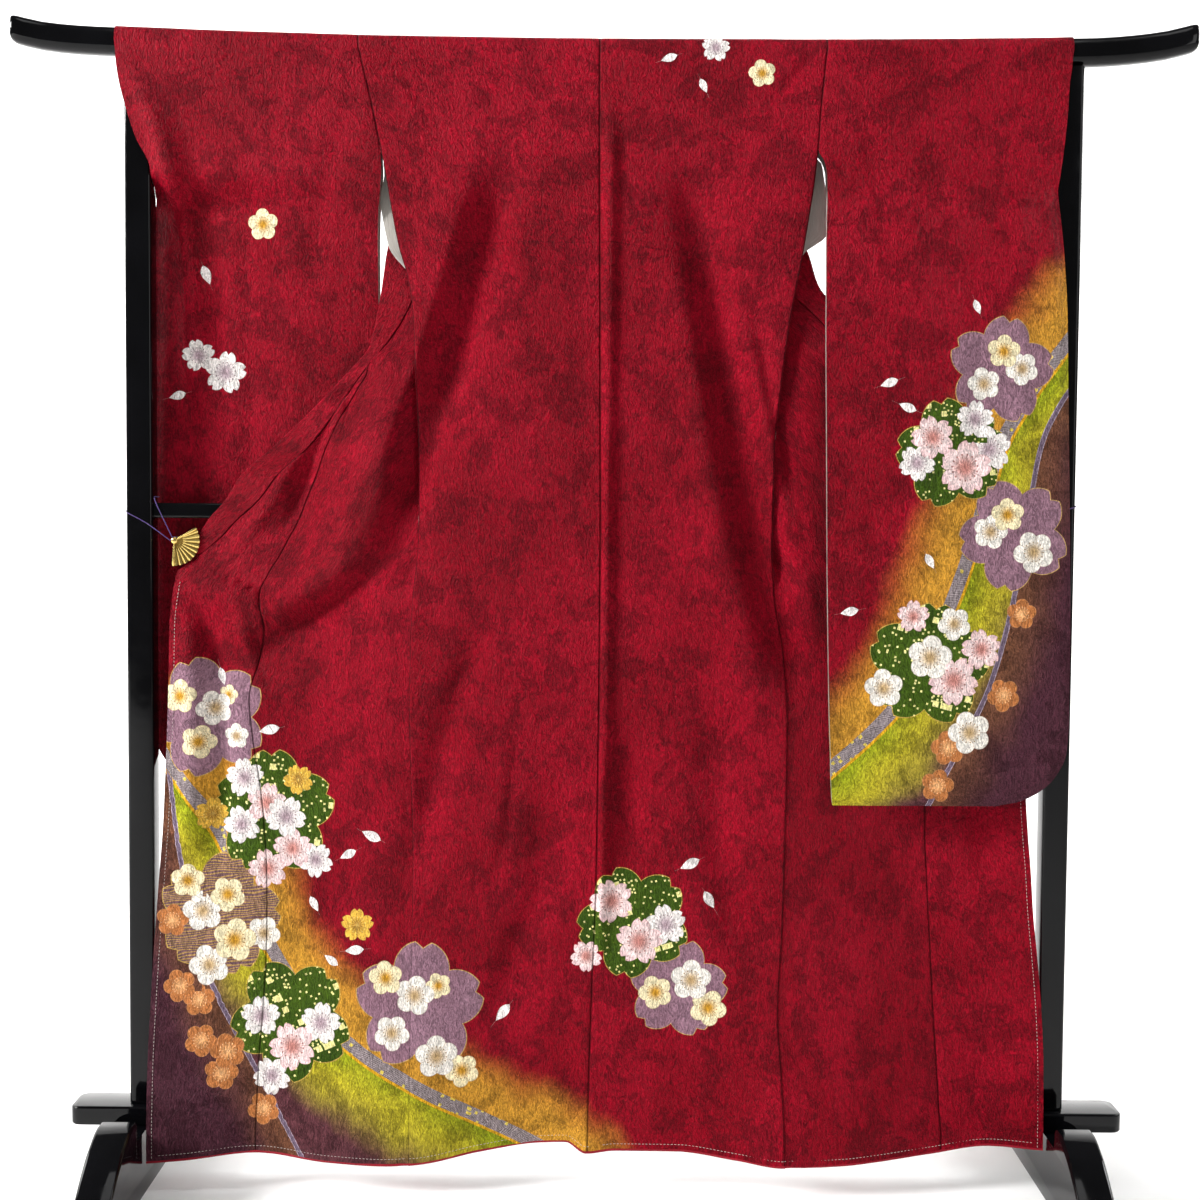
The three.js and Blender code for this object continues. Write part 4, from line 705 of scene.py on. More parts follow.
def blossom_layer(tree, level, under):
    """Draws one layer of blossoms and loose petals over the colour beneath."""
    u, v, code, r, angle, a, inside = flower_shape(tree, f"blossom_{level}", 0.59, 0.39, 0.17, 0.55, 0.44)
    kind = add(tree, "Math", (code, 8.0), operation="DIVIDE")
    petal = add(tree, "ValToRGB", (kind,), stops=[
        (0, "e9e2de"), (0.19, "ead2d0"), (0.31, "dcae45"), (0.44, "e8dab2"), (0.56, "e9e3da"),
        (0.69, "b3703f"), (0.82, "e9e2df")])
    heart = add(tree, "ValToRGB", (kind,), stops=[
        (0, "b6a0a8"), (0.19, "c98b82"), (0.31, "9a6a1c"), (0.44, "c6922c"), (0.56, "c3a67c"),
        (0.69, "dd9f66"), (0.82, "f3e3e0")])
    for ramp in (petal, heart):
        ramp.node.color_ramp.interpolation = "CONSTANT"
    colour = add(tree, "Mix",
                 {0: add(tree, "MapRange", {0: r, 1: 0.1, 2: 0.58}, **SOFT_STEP), 6: heart, 7: petal},
                 **COLOUR_MIX)
    # Pink tips on some cherries, and a fine shadow where one petal lies over the next.
    pinkish = add(tree, "Math", (add(tree, "Math", (code, 2.0, 0.2), operation="COMPARE"),
                                 add(tree, "MapRange", {0: r, 1: 0.5, 2: 1.05}, **SOFT_STEP)),
                  operation="MULTIPLY")
    colour = add(tree, "Mix", {0: add(tree, "Math", (pinkish, 0.55), operation="MULTIPLY"), 6: colour,
                               7: linear("e8aeb4")}, **COLOUR_MIX)
    between = add(tree, "Math", (add(tree, "MapRange", {0: a, 1: 0.575, 2: 0.62}, **SOFT_STEP),
                                 add(tree, "MapRange", {0: r, 1: 0.1, 2: 0.2}, **SOFT_STEP)),
                  operation="MULTIPLY")
    rim = add(tree, "MapRange", {0: inside, 1: 0.0, 2: 0.05, 3: 0.5, 4: 0.0})
    lines = add(tree, "Math", (between, 0.55), operation="MULTIPLY")
    lines = add(tree, "Math", (lines, rim), operation="MAXIMUM")
    shadow = add(tree, "Mix", {0: 0.5, 6: heart, 7: linear("8a6f66")}, **COLOUR_MIX)
    colour = add(tree, "Mix", {0: lines, 6: colour, 7: shadow}, **COLOUR_MIX)
    # Stamens: fifteen thin threads, each with a dot of pollen.
    spoke = add(tree, "Math", (angle, math.pi / 15), operation="PINGPONG")
    aside = add(tree, "Math", (spoke, r), operation="MULTIPLY")
    thread = add(tree, "Math", (add(tree, "Math", (aside, 0.013), operation="LESS_THAN"),
                                add(tree, "Math", (r, 0.44), operation="LESS_THAN")), operation="MULTIPLY")
    dot_at = add(tree, "CombineXYZ", (aside, add(tree, "Math", (r, 0.46), operation="SUBTRACT"), 0))
    dot = add(tree, "Math", (add(tree, "VectorMath", {0: dot_at}, out=1, operation="LENGTH"), 0.034),
              operation="LESS_THAN")
    stamen = add(tree, "Math", (add(tree, "Math", (thread, 0.5), operation="MULTIPLY"), dot),
                 operation="MAXIMUM")
    pollen = add(tree, "ValToRGB", (kind,), stops=[
        (0, "7d6268"), (0.19, "96544e"), (0.31, "f0d27a"), (0.44, "9a6a20"), (0.56, "8a6a3a"),
        (0.69, "f0c090"), (0.82, "faf5f2")])
    pollen.node.color_ramp.interpolation = "CONSTANT"
    colour = add(tree, "Mix",
                 {0: add(tree, "Math", (stamen, 0.85), operation="MULTIPLY"), 6: colour, 7: pollen},
                 **COLOUR_MIX)
    # A loose petal is a narrow leaf shape along its own first direction.
    round_off = add(tree, "Math", (1.0, add(tree, "Math", (u, u), operation="MULTIPLY")),
                    operation="SUBTRACT")
    width = add(tree, "Math", (add(tree, "Math", (round_off, 0.0), operation="MAXIMUM"), 0.62),
                operation="MULTIPLY")
    width = add(tree, "Math", (width, add(tree, "Math", (u, 0.25, 0.75), operation="MULTIPLY_ADD")),
                operation="MULTIPLY")
    leaf = add(tree, "Math", (width, add(tree, "Math", (v,), operation="ABSOLUTE")), operation="SUBTRACT")
    loose = add(tree, "Math", (code, 6.5), operation="GREATER_THAN")
    colour = add(tree, "Mix", {0: loose, 6: colour, 7: linear("e9e2df")}, **COLOUR_MIX)
    mask = add(tree, "Mix", {0: loose, 6: inside, 7: leaf}, **COLOUR_MIX)
    here = add(tree, "Math", (add(tree, "MapRange", {0: mask, 1: -0.015, 2: 0.015}, **SOFT_STEP),
                              add(tree, "Math", (code, 0.5), operation="GREATER_THAN")),
               operation="MULTIPLY")
    return add(tree, "Mix", {0: here, 6: under, 7: colour}, **COLOUR_MIX)


def patch_layer(tree, level, under, clouds):
    """Draws one layer of large flower-shaped patches, with gold leaf squares on the green ones."""
    u, v, code, *_, inside = flower_shape(tree, f"patch_{level}", 0.57, 0.42, 0.11)
    green = add(tree, "Mix", {0: clouds, 6: linear("1c3407"), 7: linear("4a6216")}, **COLOUR_MIX)
    own = add(tree, "CombineXYZ", (u, v, code))
    turned = add(tree, "Mapping", {0: own, 2: (0, 0, 0.45)})
    # Gold leaf: squares about 8 mm wide scattered some 30 mm apart, and flecks of 2 mm.
    for scale, size, share in ((4.0, 0.19, 0.5), (15.0, 0.24, 0.5)):
        cell = add(tree, "TexVoronoi", {0: turned, 2: scale}, distance="CHEBYCHEV")
        chance = add(tree, "SeparateColor", (cell.node.outputs[1],))
        chosen = add(tree, "Math", (chance, share), operation="GREATER_THAN")
        square = add(tree, "Math", (cell, size), operation="LESS_THAN")
        leaf = add(tree, "Mix", {0: add(tree, "TexNoise", {0: turned, 2: 30.0}), 6: linear("d9cf6a"),
                                 7: linear("f0e9b0")}, **COLOUR_MIX)
        green = add(tree, "Mix",
                    {0: add(tree, "Math", (square, chosen), operation="MULTIPLY"), 6: green, 7: leaf},
                    **COLOUR_MIX)
    mauve = add(tree, "Mix", {0: clouds, 6: linear("74525f"), 7: linear("9c7888")}, **COLOUR_MIX)
    # Flowing-water lines about 5 mm apart, drawn in dull gold.
    water_at = add(tree, "Mapping", {0: own, 3: (1.0, 2.6, 1.0)})
    water = add(tree, "TexWave", {0: water_at, 1: 3.0, 2: 9.0, 3: 1.0, 4: 0.8}, bands_direction="Y")
    waves = add(tree, "Mix", {0: add(tree, "MapRange", {0: water, 1: 0.5, 2: 0.85}, **SOFT_STEP),
                              6: linear("6e5054"), 7: linear("a88650")}, **COLOUR_MIX)
    colour = add(tree, "Mix",
                 {0: add(tree, "Math", (code, 1.5), operation="GREATER_THAN"), 6: green, 7: mauve},
                 **COLOUR_MIX)
    colour = add(tree, "Mix",
                 {0: add(tree, "Math", (code, 2.5), operation="GREATER_THAN"), 6: colour, 7: waves},
                 **COLOUR_MIX)
    # Gold outline about a millimetre wide.
    rim = add(tree, "Math", (inside, 0.016), operation="LESS_THAN")
    colour = add(tree, "Mix",
                 {0: add(tree, "Math", (rim, 0.75), operation="MULTIPLY"), 6: colour, 7: linear("c9a552")},
                 **COLOUR_MIX)
    here = add(tree, "Math", (add(tree, "MapRange", {0: inside, 1: -0.004, 2: 0.004}, **SOFT_STEP),
                              add(tree, "Math", (code, 0.5), operation="GREATER_THAN")),
               operation="MULTIPLY")
    return add(tree, "Mix", {0: here, 6: under, 7: colour}, **COLOUR_MIX)


def dyed_crepe():
    """Figured silk crepe, crimson with a hand-dyed design: crinkled, softly lustrous, with dark clouds."""
    tree, surface, material = finish("figured_silk_crepe_hand_dyed", sheen_weight=0.03,
                                     sheen_roughness=0.4, sheen_tint=linear("f08090"), ior=1.4,
                                     specular_ior_level=0.1)
    place = add(tree, "Attribute", attribute_name="weave_place", out=1)
    # Woven figure: irregular clouds up to 55 mm across, broken up by moss of 8 mm.
    cloud = add(tree, "TexNoise", {0: place, 2: 0.018, 3: 8.0, 4: 0.68, 8: 0.5})
    thick_of_cloud = add(tree, "MapRange", {0: cloud, 1: 0.50, 2: 0.545}, **SOFT_STEP)
    moss = add(tree, "TexNoise", {0: place, 2: 0.12, 3: 6.0, 4: 0.85})
    figure = add(tree, "Math",
                 (thick_of_cloud, add(tree, "MapRange", {0: moss, 1: 0.36, 2: 0.52}, **SOFT_STEP)),
                 operation="MULTIPLY")
    tone = add(tree, "TexNoise", {0: place, 2: 0.006, 3: 2.0})
    red = add(tree, "Mix", {0: add(tree, "MapRange", {0: tone, 1: 0.35, 2: 0.65}, **SOFT_STEP),
                            6: linear("7a0014"), 7: linear("8a031b")}, **COLOUR_MIX)

    def track(name):
        both = tree.nodes.new("ShaderNodeSeparateXYZ")
        tree.links.new(add(tree, "Attribute", attribute_name=name, out=1), both.inputs[0])
        return both.outputs[0], both.outputs[1]

    far, along = track("wide_stream")
    thin_far, _ = track("thin_stream")
    drift = add(tree, "TexNoise", {0: place, 2: 0.012, 3: 3.0})
    wander = add(tree, "Math", (drift, 60.0, -30.0), operation="MULTIPLY_ADD")
    soft = add(tree, "Math", (far, wander), operation="ADD")
    # Airbrushed fields beside the streams: ochre, then yellow-green, then aubergine.
    base = add(tree, "Mix", {0: add(tree, "MapRange", {0: soft, 1: -105.0, 2: -30.0}, **SOFT_STEP), 6: red,
                             7: linear("c08a2e")}, **COLOUR_MIX)
    leafy = add(tree, "Mix", {0: add(tree, "MapRange", {0: soft, 1: 0.0, 2: 60.0}, **SOFT_STEP),
                              6: linear("8f9a18"), 7: linear("b3a628")}, **COLOUR_MIX)
    leafy = add(tree, "Mix", {0: add(tree, "MapRange", {0: soft, 1: 45.0, 2: 120.0}, **SOFT_STEP), 6: leafy,
                              7: linear("5a3238")}, **COLOUR_MIX)
    base = add(tree, "Mix",
               {0: add(tree, "MapRange", {0: far, 1: -1.0, 2: 1.0}, **SOFT_STEP), 6: base, 7: leafy},
               **COLOUR_MIX)
    past_thin = add(tree, "Math", (thin_far, wander), operation="ADD")
    dusk = add(tree, "Mix", {0: add(tree, "MapRange", {0: past_thin, 1: 0.0, 2: 80.0}, **SOFT_STEP),
                             6: linear("6b4430"), 7: linear("47242f")}, **COLOUR_MIX)
    both_past = add(tree, "Math", (add(tree, "MapRange", {0: thin_far, 1: -1.0, 2: 1.0}, **SOFT_STEP),
                                   add(tree, "MapRange", {0: far, 1: -1.0, 2: 1.0}, **SOFT_STEP)),
                    operation="MULTIPLY")
    base = add(tree, "Mix", {0: both_past, 6: base, 7: dusk}, **COLOUR_MIX)
    dark = add(tree, "Mix", {0: 0.55, 6: base, 7: linear("1a0206")}, **COLOUR_MIX)
    base = add(tree, "Mix", {0: add(tree, "Math", (figure, 0.72), operation="MULTIPLY"), 6: base, 7: dark},
               **COLOUR_MIX)
    # Striped stream, 19 mm wide, with fine slanting lines 2 mm apart and an amber edge 4 mm wide.
    slant = add(tree, "Math", (along, add(tree, "Math", (far, 0.6), operation="MULTIPLY")), operation="ADD")
    stripe = add(tree, "Math", (add(tree, "Math", (slant, 1.3), operation="PINGPONG"), 0.6),
                 operation="GREATER_THAN")
    ribbon = add(tree, "Mix", {0: stripe, 6: linear("6b5e62"), 7: linear("9a8f90")}, **COLOUR_MIX)
    bead = add(tree, "TexVoronoi", {0: add(tree, "CombineXYZ", (far, along, 0)), 2: 0.075},
               distance="CHEBYCHEV")
    fleck = add(tree, "Math", (bead, 0.17), operation="LESS_THAN")
    ribbon = add(tree, "Mix", {0: fleck, 6: ribbon, 7: linear("d8c15a")}, **COLOUR_MIX)
    on_ribbon = add(tree, "Math", (far, 0.0, 9.5), operation="COMPARE")
    base = add(tree, "Mix", {0: on_ribbon, 6: base, 7: ribbon}, **COLOUR_MIX)
    amber = add(tree, "Math", (far, 11.5, 2.0), operation="COMPARE")
    base = add(tree, "Mix", {0: amber, 6: base, 7: linear("cf9a1e")}, **COLOUR_MIX)
    # Narrow stream, 7 mm, with paler edges; it fades where it leaves the dark field.
    thin_side = add(tree, "Math", (thin_far,), operation="ABSOLUTE")
    thin_colour = add(tree, "Mix", {0: add(tree, "MapRange", {0: thin_side, 1: 2.4, 2: 3.2}, **SOFT_STEP),
                                    6: linear("6a5a6c"), 7: linear("a493a0")}, **COLOUR_MIX)
    on_thin = add(tree, "Math", (add(tree, "Math", (thin_side, 3.8), operation="LESS_THAN"),
                                 add(tree, "Math", (far, 10.0), operation="GREATER_THAN")),
                  operation="MULTIPLY")
    base = add(tree, "Mix", {0: on_thin, 6: base, 7: thin_colour}, **COLOUR_MIX)
    for level in (1, 0):
        base = patch_layer(tree, level, base, drift)
    for level in (1, 0):
        base = blossom_layer(tree, level, base)
    # The tuck across the back: a fine pressed line, drawn as a thin dashed line of painted shade along the
    # crease.
    tuck = add(tree, "Attribute", attribute_name="tuck", out=2)
    line = add(tree, "Math", (tuck, 0.0, 0.7), operation="COMPARE")
    dots = add(tree, "MapRange", {0: add(tree, "TexNoise", {0: place, 2: 0.16, 3: 1.0}), 1: 0.42, 2: 0.56},
               **SOFT_STEP)
    line = add(tree, "Math", (add(tree, "Math", (line, dots), operation="MULTIPLY"), 0.5),
               operation="MULTIPLY")
    base = add(tree, "Mix", {0: line, 6: base, 7: linear("2a0208")}, **COLOUR_MIX)
    # Crepe crinkles: 5 mm wide and 12 mm long, running down the cloth.
    crinkle_at = add(tree, "Mapping", {0: place, 3: (0.20, 0.085, 0.2)})
    crinkle = add(tree, "TexNoise", {0: crinkle_at, 2: 1.0, 3: 2.5, 4: 0.6, 8: 1.8})
    seam = add(tree, "Attribute", attribute_name="seam_distance", out=2)
    in_seam = add(tree, "MapRange", {0: seam, 1: 0.3, 2: 1.8, 3: 1.0, 4: 0.0})
    # Painted shade in the hollows of the crinkles and along the seams, and painted highlight on the
    # crinkles'
    # crests: the colour is scaled down and up with them.  The speckle of 3 mm and the grain of 1 to 2 mm
    # stand for the real grain of 0.5 mm, which is drawn coarser to show.
    speckle = add(tree, "TexNoise", {0: place, 2: 0.36, 3: 2.0, 4: 0.6})
    share = add(tree, "MapRange", {0: crinkle, 1: 0.36, 2: 0.64, 3: 0.6, 4: 1.28})
    share = add(tree, "Math", (share, add(tree, "MapRange", {0: speckle, 1: 0.3, 2: 0.7, 3: 0.8, 4: 1.2})),
                operation="MULTIPLY")
    # Painted shade along the seams: the colour falls to 0.4 of itself at a seam.
    share = add(tree, "Math", (share, add(tree, "MapRange", {0: in_seam, 3: 1.0, 4: 0.4})),
                operation="MULTIPLY")
    shaded = add(tree, "VectorMath", {0: base, 3: share}, operation="SCALE")
    tree.links.new(shaded, surface.inputs["Base Color"])
    rough = add(tree, "MapRange", {0: figure, 3: 0.50, 4: 0.62})
    tree.links.new(rough, surface.inputs["Roughness"])
    grain = add(tree, "TexNoise", {0: add(tree, "Mapping", {0: place, 3: (0.85, 0.5, 0.5)}), 2: 1.0, 3: 2.0})
    height = add(tree, "Math", (grain, 0.22), operation="MULTIPLY")
    height = add(tree, "Math", (crinkle, height), operation="ADD")
    step = add(tree, "MapRange", {0: tuck, 1: -2.0, 2: 2.0, 3: 0.0, 4: -0.3})
    height = add(tree, "Math", (height, step), operation="ADD")
    height = add(tree, "Math", (height, add(tree, "Math", (in_seam, 0.8), operation="MULTIPLY")),
                 operation="SUBTRACT")
    bump = add(tree, "Bump", {0: 1.0, 1: 0.0042, "Height": height})
    tree.links.new(bump, surface.inputs["Normal"])
    return material


def plain_silk(name, low, high, crinkle):
    """Plain-woven silk lining: smooth, faint slubs, threads 0.3 mm apart drawn 1.5 mm apart to show."""
    tree, surface, material = finish(name, roughness=0.5, sheen_weight=0.1, sheen_roughness=0.3, ior=1.45,
                                     specular_ior_level=0.25)
    place = add(tree, "Attribute", attribute_name="weave_place", out=1)
    slub = add(tree, "TexNoise", {0: add(tree, "Mapping", {0: place, 3: (0.9, 0.04, 0.5)}), 2: 1.0, 3: 3.0})
    cast = add(tree, "TexNoise", {0: place, 2: 0.01, 3: 3.0})
    both = add(tree, "Math", (slub, cast), operation="ADD")
    tree.links.new(add(tree, "Mix", {0: add(tree, "MapRange", {0: both, 1: 0.7, 2: 1.3}, **SOFT_STEP),
                                     6: linear(low), 7: linear(high)}, **COLOUR_MIX),
                   surface.inputs["Base Color"])
    soft = add(tree, "TexNoise", {0: add(tree, "Mapping", {0: place, 3: (0.12, 0.05, 0.1)}), 2: 1.0, 3: 3.0})
    height = add(tree, "Math", (soft, slub), operation="ADD")
    tree.links.new(add(tree, "Bump", {0: 1.0, 1: crinkle, "Height": height}), surface.inputs["Normal"])
    return material


def black_lacquer():
    """Polished black lacquer on wood: deep gloss with a faint swell and a slightly uneven polish."""
    tree, surface, material = finish("polished_black_lacquer", coat_weight=0.08, coat_roughness=0.05,
                                     ior=1.45, specular_ior_level=0.22)
    place = add(tree, "TexCoord", out=3)
    swell = add(tree, "TexNoise", {0: place, 2: 9.0, 3: 3.0})
    tree.links.new(add(tree, "Mix", {0: add(tree, "MapRange", {0: swell, 1: 0.35, 2: 0.7}, **SOFT_STEP),
                                     6: linear("040405"), 7: linear("08080a")}, **COLOUR_MIX),
                   surface.inputs["Base Color"])
    polish = add(tree, "TexNoise", {0: place, 2: 45.0, 3: 5.0})
    tree.links.new(add(tree, "MapRange", {0: polish, 1: 0.35, 2: 0.75, 3: 0.05, 4: 0.16}),
                   surface.inputs["Roughness"])
    tree.links.new(add(tree, "Bump", {0: 1.0, 1: 0.0002, "Height": swell}), surface.inputs["Normal"])
    return material


def gilt_brass():
    """Cast and gilded brass: warm gold, bright on the ribs and dull with age in the grooves."""
    tree, surface, material = finish("gilded_cast_brass", metallic=1.0)
    groove = add(tree, "Attribute", attribute_name="groove", out=2)
    place = add(tree, "TexCoord", out=3)
    cast = add(tree, "TexNoise", {0: place, 2: 900.0, 3: 4.0})
    worn = add(tree, "Math", (groove, add(tree, "Math", (cast, 0.5, -0.25), operation="MULTIPLY_ADD")),
               operation="ADD")
    tree.links.new(add(tree, "Mix", {0: add(tree, "MapRange", {0: worn, 1: 0.2, 2: 0.9}, **SOFT_STEP),
                                     6: linear("e6c877"), 7: linear("6e5420")}, **COLOUR_MIX),
                   surface.inputs["Base Color"])
    tree.links.new(add(tree, "MapRange", {0: worn, 3: 0.22, 4: 0.5}), surface.inputs["Roughness"])
    tree.links.new(add(tree, "Bump", {0: 1.0, 1: 0.0001, "Height": cast}), surface.inputs["Normal"])
    return material


def twisted_cord():
    """Purple silk cord of two twisted strands: soft lustre, fibres about 0.3 mm apart."""
    tree, surface, material = finish("purple_silk_cord", roughness=0.6, sheen_weight=0.4,
                                     sheen_roughness=0.4)
    place = add(tree, "TexCoord", out=3)
    fibre_at = add(tree, "Mapping", {0: place, 3: (3000, 3000, 900)})
    fibre = add(tree, "TexNoise", {0: fibre_at, 2: 1.0, 3: 2.0})
    tree.links.new(add(tree, "Mix", {0: fibre, 6: linear("2c1552"), 7: linear("5a3a92")}, **COLOUR_MIX),
                   surface.inputs["Base Color"])
    tree.links.new(add(tree, "Bump", {0: 1.0, 1: 0.0001, "Height": fibre}), surface.inputs["Normal"])
    return material


def cotton_thread():
    """Soft white basting thread, with a slight twist that shows as grey flecks."""
    tree, surface, material = finish("white_cotton_thread", roughness=0.8, sheen_weight=0.2)
    fleck = add(tree, "TexNoise", {0: add(tree, "TexCoord", out=3), 2: 1500.0, 3: 2.0})
    tree.links.new(add(tree, "Mix", {0: fleck, 6: linear("a89a94"), 7: linear("d8cfc8")}, **COLOUR_MIX),
                   surface.inputs["Base Color"])
    return material


def matt_paper():
    """Plain pale floor and backdrop; its back is clear, so that the part shows from behind it too."""
    tree, surface, material = finish("pale_matt_paper", roughness=0.9)
    seen_from_behind = add(tree, "NewGeometry", out=6)
    clear = add(tree, "BsdfTransparent")
    tree.links.new(add(tree, "MixShader", (seen_from_behind, surface.outputs[0], clear)),
                   tree.nodes["Material Output"].inputs["Surface"])
    cast = add(tree, "TexNoise", {0: add(tree, "TexCoord", out=3), 2: 1.5, 3: 2.0})
    tree.links.new(add(tree, "Mix", {0: cast, 6: linear("f4f3f2"), 7: linear("f8f8f7")}, **COLOUR_MIX),
                   surface.inputs["Base Color"])
    return material


DYED_CREPE = dyed_crepe()
# The white lining's colours are painted grey: painted shade of a lining that lies in the shade inside the
# garment.
SHADE_PAINTED_WHITE_LINING = plain_silk("white_silk_lining_painted_shade", "9d9790", "b5afa8", 0.0006)
RED_LINING = plain_silk("crimson_silk_lining", "7c0c1c", "921024", 0.0006)
LACQUER = black_lacquer()
GILT = gilt_brass()
CORD = twisted_cord()
THREAD = cotton_thread()
PAPER = matt_paper()


# ---- the kimono -------------------------------------------------------------------------------------
def heights(low, high, step):
    return np.linspace(low, high, int(round((high - low) / step)) + 1)


def hem_row(x, h):
    """Height of a row near the hem: level above, following the waves of the hem below."""
    top, hem = LEVEL["above_hem"], read(HEM, "z", x, "x")
    return np.where(h >= top, h, hem + (top - hem) * (h - LEVEL["hem"]) / (top - LEVEL["hem"]))


def columns_of(width, count):
    """Places from 0 to 1 across a panel, closer together beside its two seams."""
    near = np.array([0, 0.7, 1.4, 2.2, 3.2, 4.5, 6.2, 8.5]) / width
    middle = np.linspace(near[-1], 1 - near[-1], count - 14)[1:-1]
    return np.concatenate([near, middle, 1 - near[::-1]])[None, :]


def body_piece(side, columns=72, step=8.0):
    """One long panel: up the back from the hem, over the rod, and down the front."""
    s = SIDES[side]
    across = columns_of(280, columns)
    up = heights(LEVEL["hem"], LEVEL["shoulder"], step)[:, None]
    start, stop = s * (read(CENTRE, "x", up) * s + SEAM_GAP / 2), s * read(SIDE[side], "x", up)
    x = mix(start, stop, across)
    z = hem_row(x, up)
    back = np.stack([x, depth(x, z), z], 2)
    over = over_rod(side, across)
    down = up[::-1]
    lay = Front(side, down)
    end = front_end(side, down)
    turned = lay.first + lay.bend + end - lay.after_x
    gone_by = (LEVEL["turned"] - down) / (LEVEL["turned"] - LEVEL["post_gap"])
    whole = mix(lay.seam - end, turned, np.clip(gone_by, 0, 1))
    x, off, showing = lay.point(np.maximum(0, whole * (1 - across)))
    z = hem_row(s * x, down)
    crease = folds(FLAP_CREASES[side], s * x, z) * smooth((x - lay.seam - 20) / 50) * showing
    front = np.stack([s * x, depth(s * x, z) + off + crease, z], 2)
    grid = np.concatenate([back, over, front])
    rows = len(grid)
    shown = np.concatenate([np.ones((len(back) + len(over), columns)), showing * 1.0])
    run = np.linalg.norm(np.diff(grid[:, columns // 2], axis=0), axis=1)
    along = np.broadcast_to(np.concatenate([[0], np.cumsum(run)])[:, None], (rows, columns))
    flat = np.broadcast_to(across * 300, (rows, columns))
    behind = np.arange(rows)[:, None] >= len(back) + len(over)
    d = np.where(behind, across, np.minimum(across, 1 - across)) * 280
    sink = seam_sink(d, along, 3 if side == "left" else 4)
    edge_d = np.minimum(across, 1 - across) * 280
    sink = sink + 0.9 * waviness(grid[:, :, 0], along, 34, 95, 11) * smooth(edge_d / 20)
    sink[len(back):len(back) + len(over)] *= 0.3
    tuck = np.full((rows, columns), NOWHERE)
    bx, bz = grid[:len(back), :, 0], grid[:len(back), :, 2]
    tuck[:len(back)] = bz - (TUCK["z"] - TUCK["slope"] * np.maximum(0, bx - TUCK["level_to"]))
    obj = cloth(f"dyed_body_{side}", grid, sink, s, (grid[:, :, 0], grid[:, :, 2]), shown, "spread",
                [SHADE_PAINTED_WHITE_LINING, RED_LINING], flat, along, red_below=RED_BELOW, tuck=tuck, seam=d)
    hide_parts(f"body_{side}")
    return grid


def overlap_piece(side, columns=40, step=8.0):
    """The overlap panel, from its seam to the collar and below it to the free edge."""
    s = SIDES[side]
    rows = FRONT[side]
    top = max(h for h, v in zip(rows["z"], rows["overlap"]) if v is not None)
    last_collar = min(h for h, v in zip(rows["z"], rows["collar"]) if v is not None)
    h = heights(LEVEL["hem"], top, step)[::-1][:, None]
    inner = read(rows, "overlap", h) + SEAM_GAP
    collar = read(rows, "collar", h) - 0.1
    free = read(rows, "edge", h)
    outer_edge = np.where(h >= last_collar, collar, mix(free, collar, smooth((h - last_collar + 26) / 26)))
    across = columns_of(150, columns)
    x = mix(inner, outer_edge, across)
    z = hem_row(s * x, h)
    grid = np.stack([s * x, flap_depth(side, x, z), z], 2)
    along = np.broadcast_to(top - h, x.shape)
    flat = x - inner
    d = np.minimum(flat, (outer_edge - x) + 40 * (h < last_collar))
    sink = seam_sink(d, along, 5) + 0.8 * waviness(grid[:, :, 0], along, 34, 95, 12) * smooth(d / 20)
    obj = cloth(f"dyed_overlap_{side}", grid, sink, -s, (grid[:, :, 0], grid[:, :, 2]), np.ones(x.shape),
                "spread", [SHADE_PAINTED_WHITE_LINING, RED_LINING], flat, along, red_below=RED_BELOW, seam=d)
    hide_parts(f"overlap_{side}")
    return grid


# Where the collar rolls over behind each shoulder: it hangs down at the nape, stands out backwards
# at the corner of the neck and lies on the back of the front below.  Each place gives the way from
# the seam to the folded edge.
NAPE = dict(top=1640.4, fall=6, half=99)        # height of the neck seam, and its fall to either side
BAND_BEHIND = 3.7      # how far behind the back of a front the band lies
BAND_HANGS = 34        # how far the folded edge hangs below the seam at the shoulder
LEAF = dict(radius=2.1, deep=26)                # the turned-in leaf: bend of the fold, and depth
NECK_BEND = [(62, 1.5, (10, 12.4, -41)), (76, 2.2, (14, 24.7, -39)), (88, 3, (18, 33, -36))]
ROLL = [(1635, (19.7, 35.5, -35)), (1628, (28.6, 35.2, -30)), (1621, (35.5, 30.9, -27)),
        (1614, (41.4, 23.6, -25)), (1607, (46.3, 13.3, -26))]


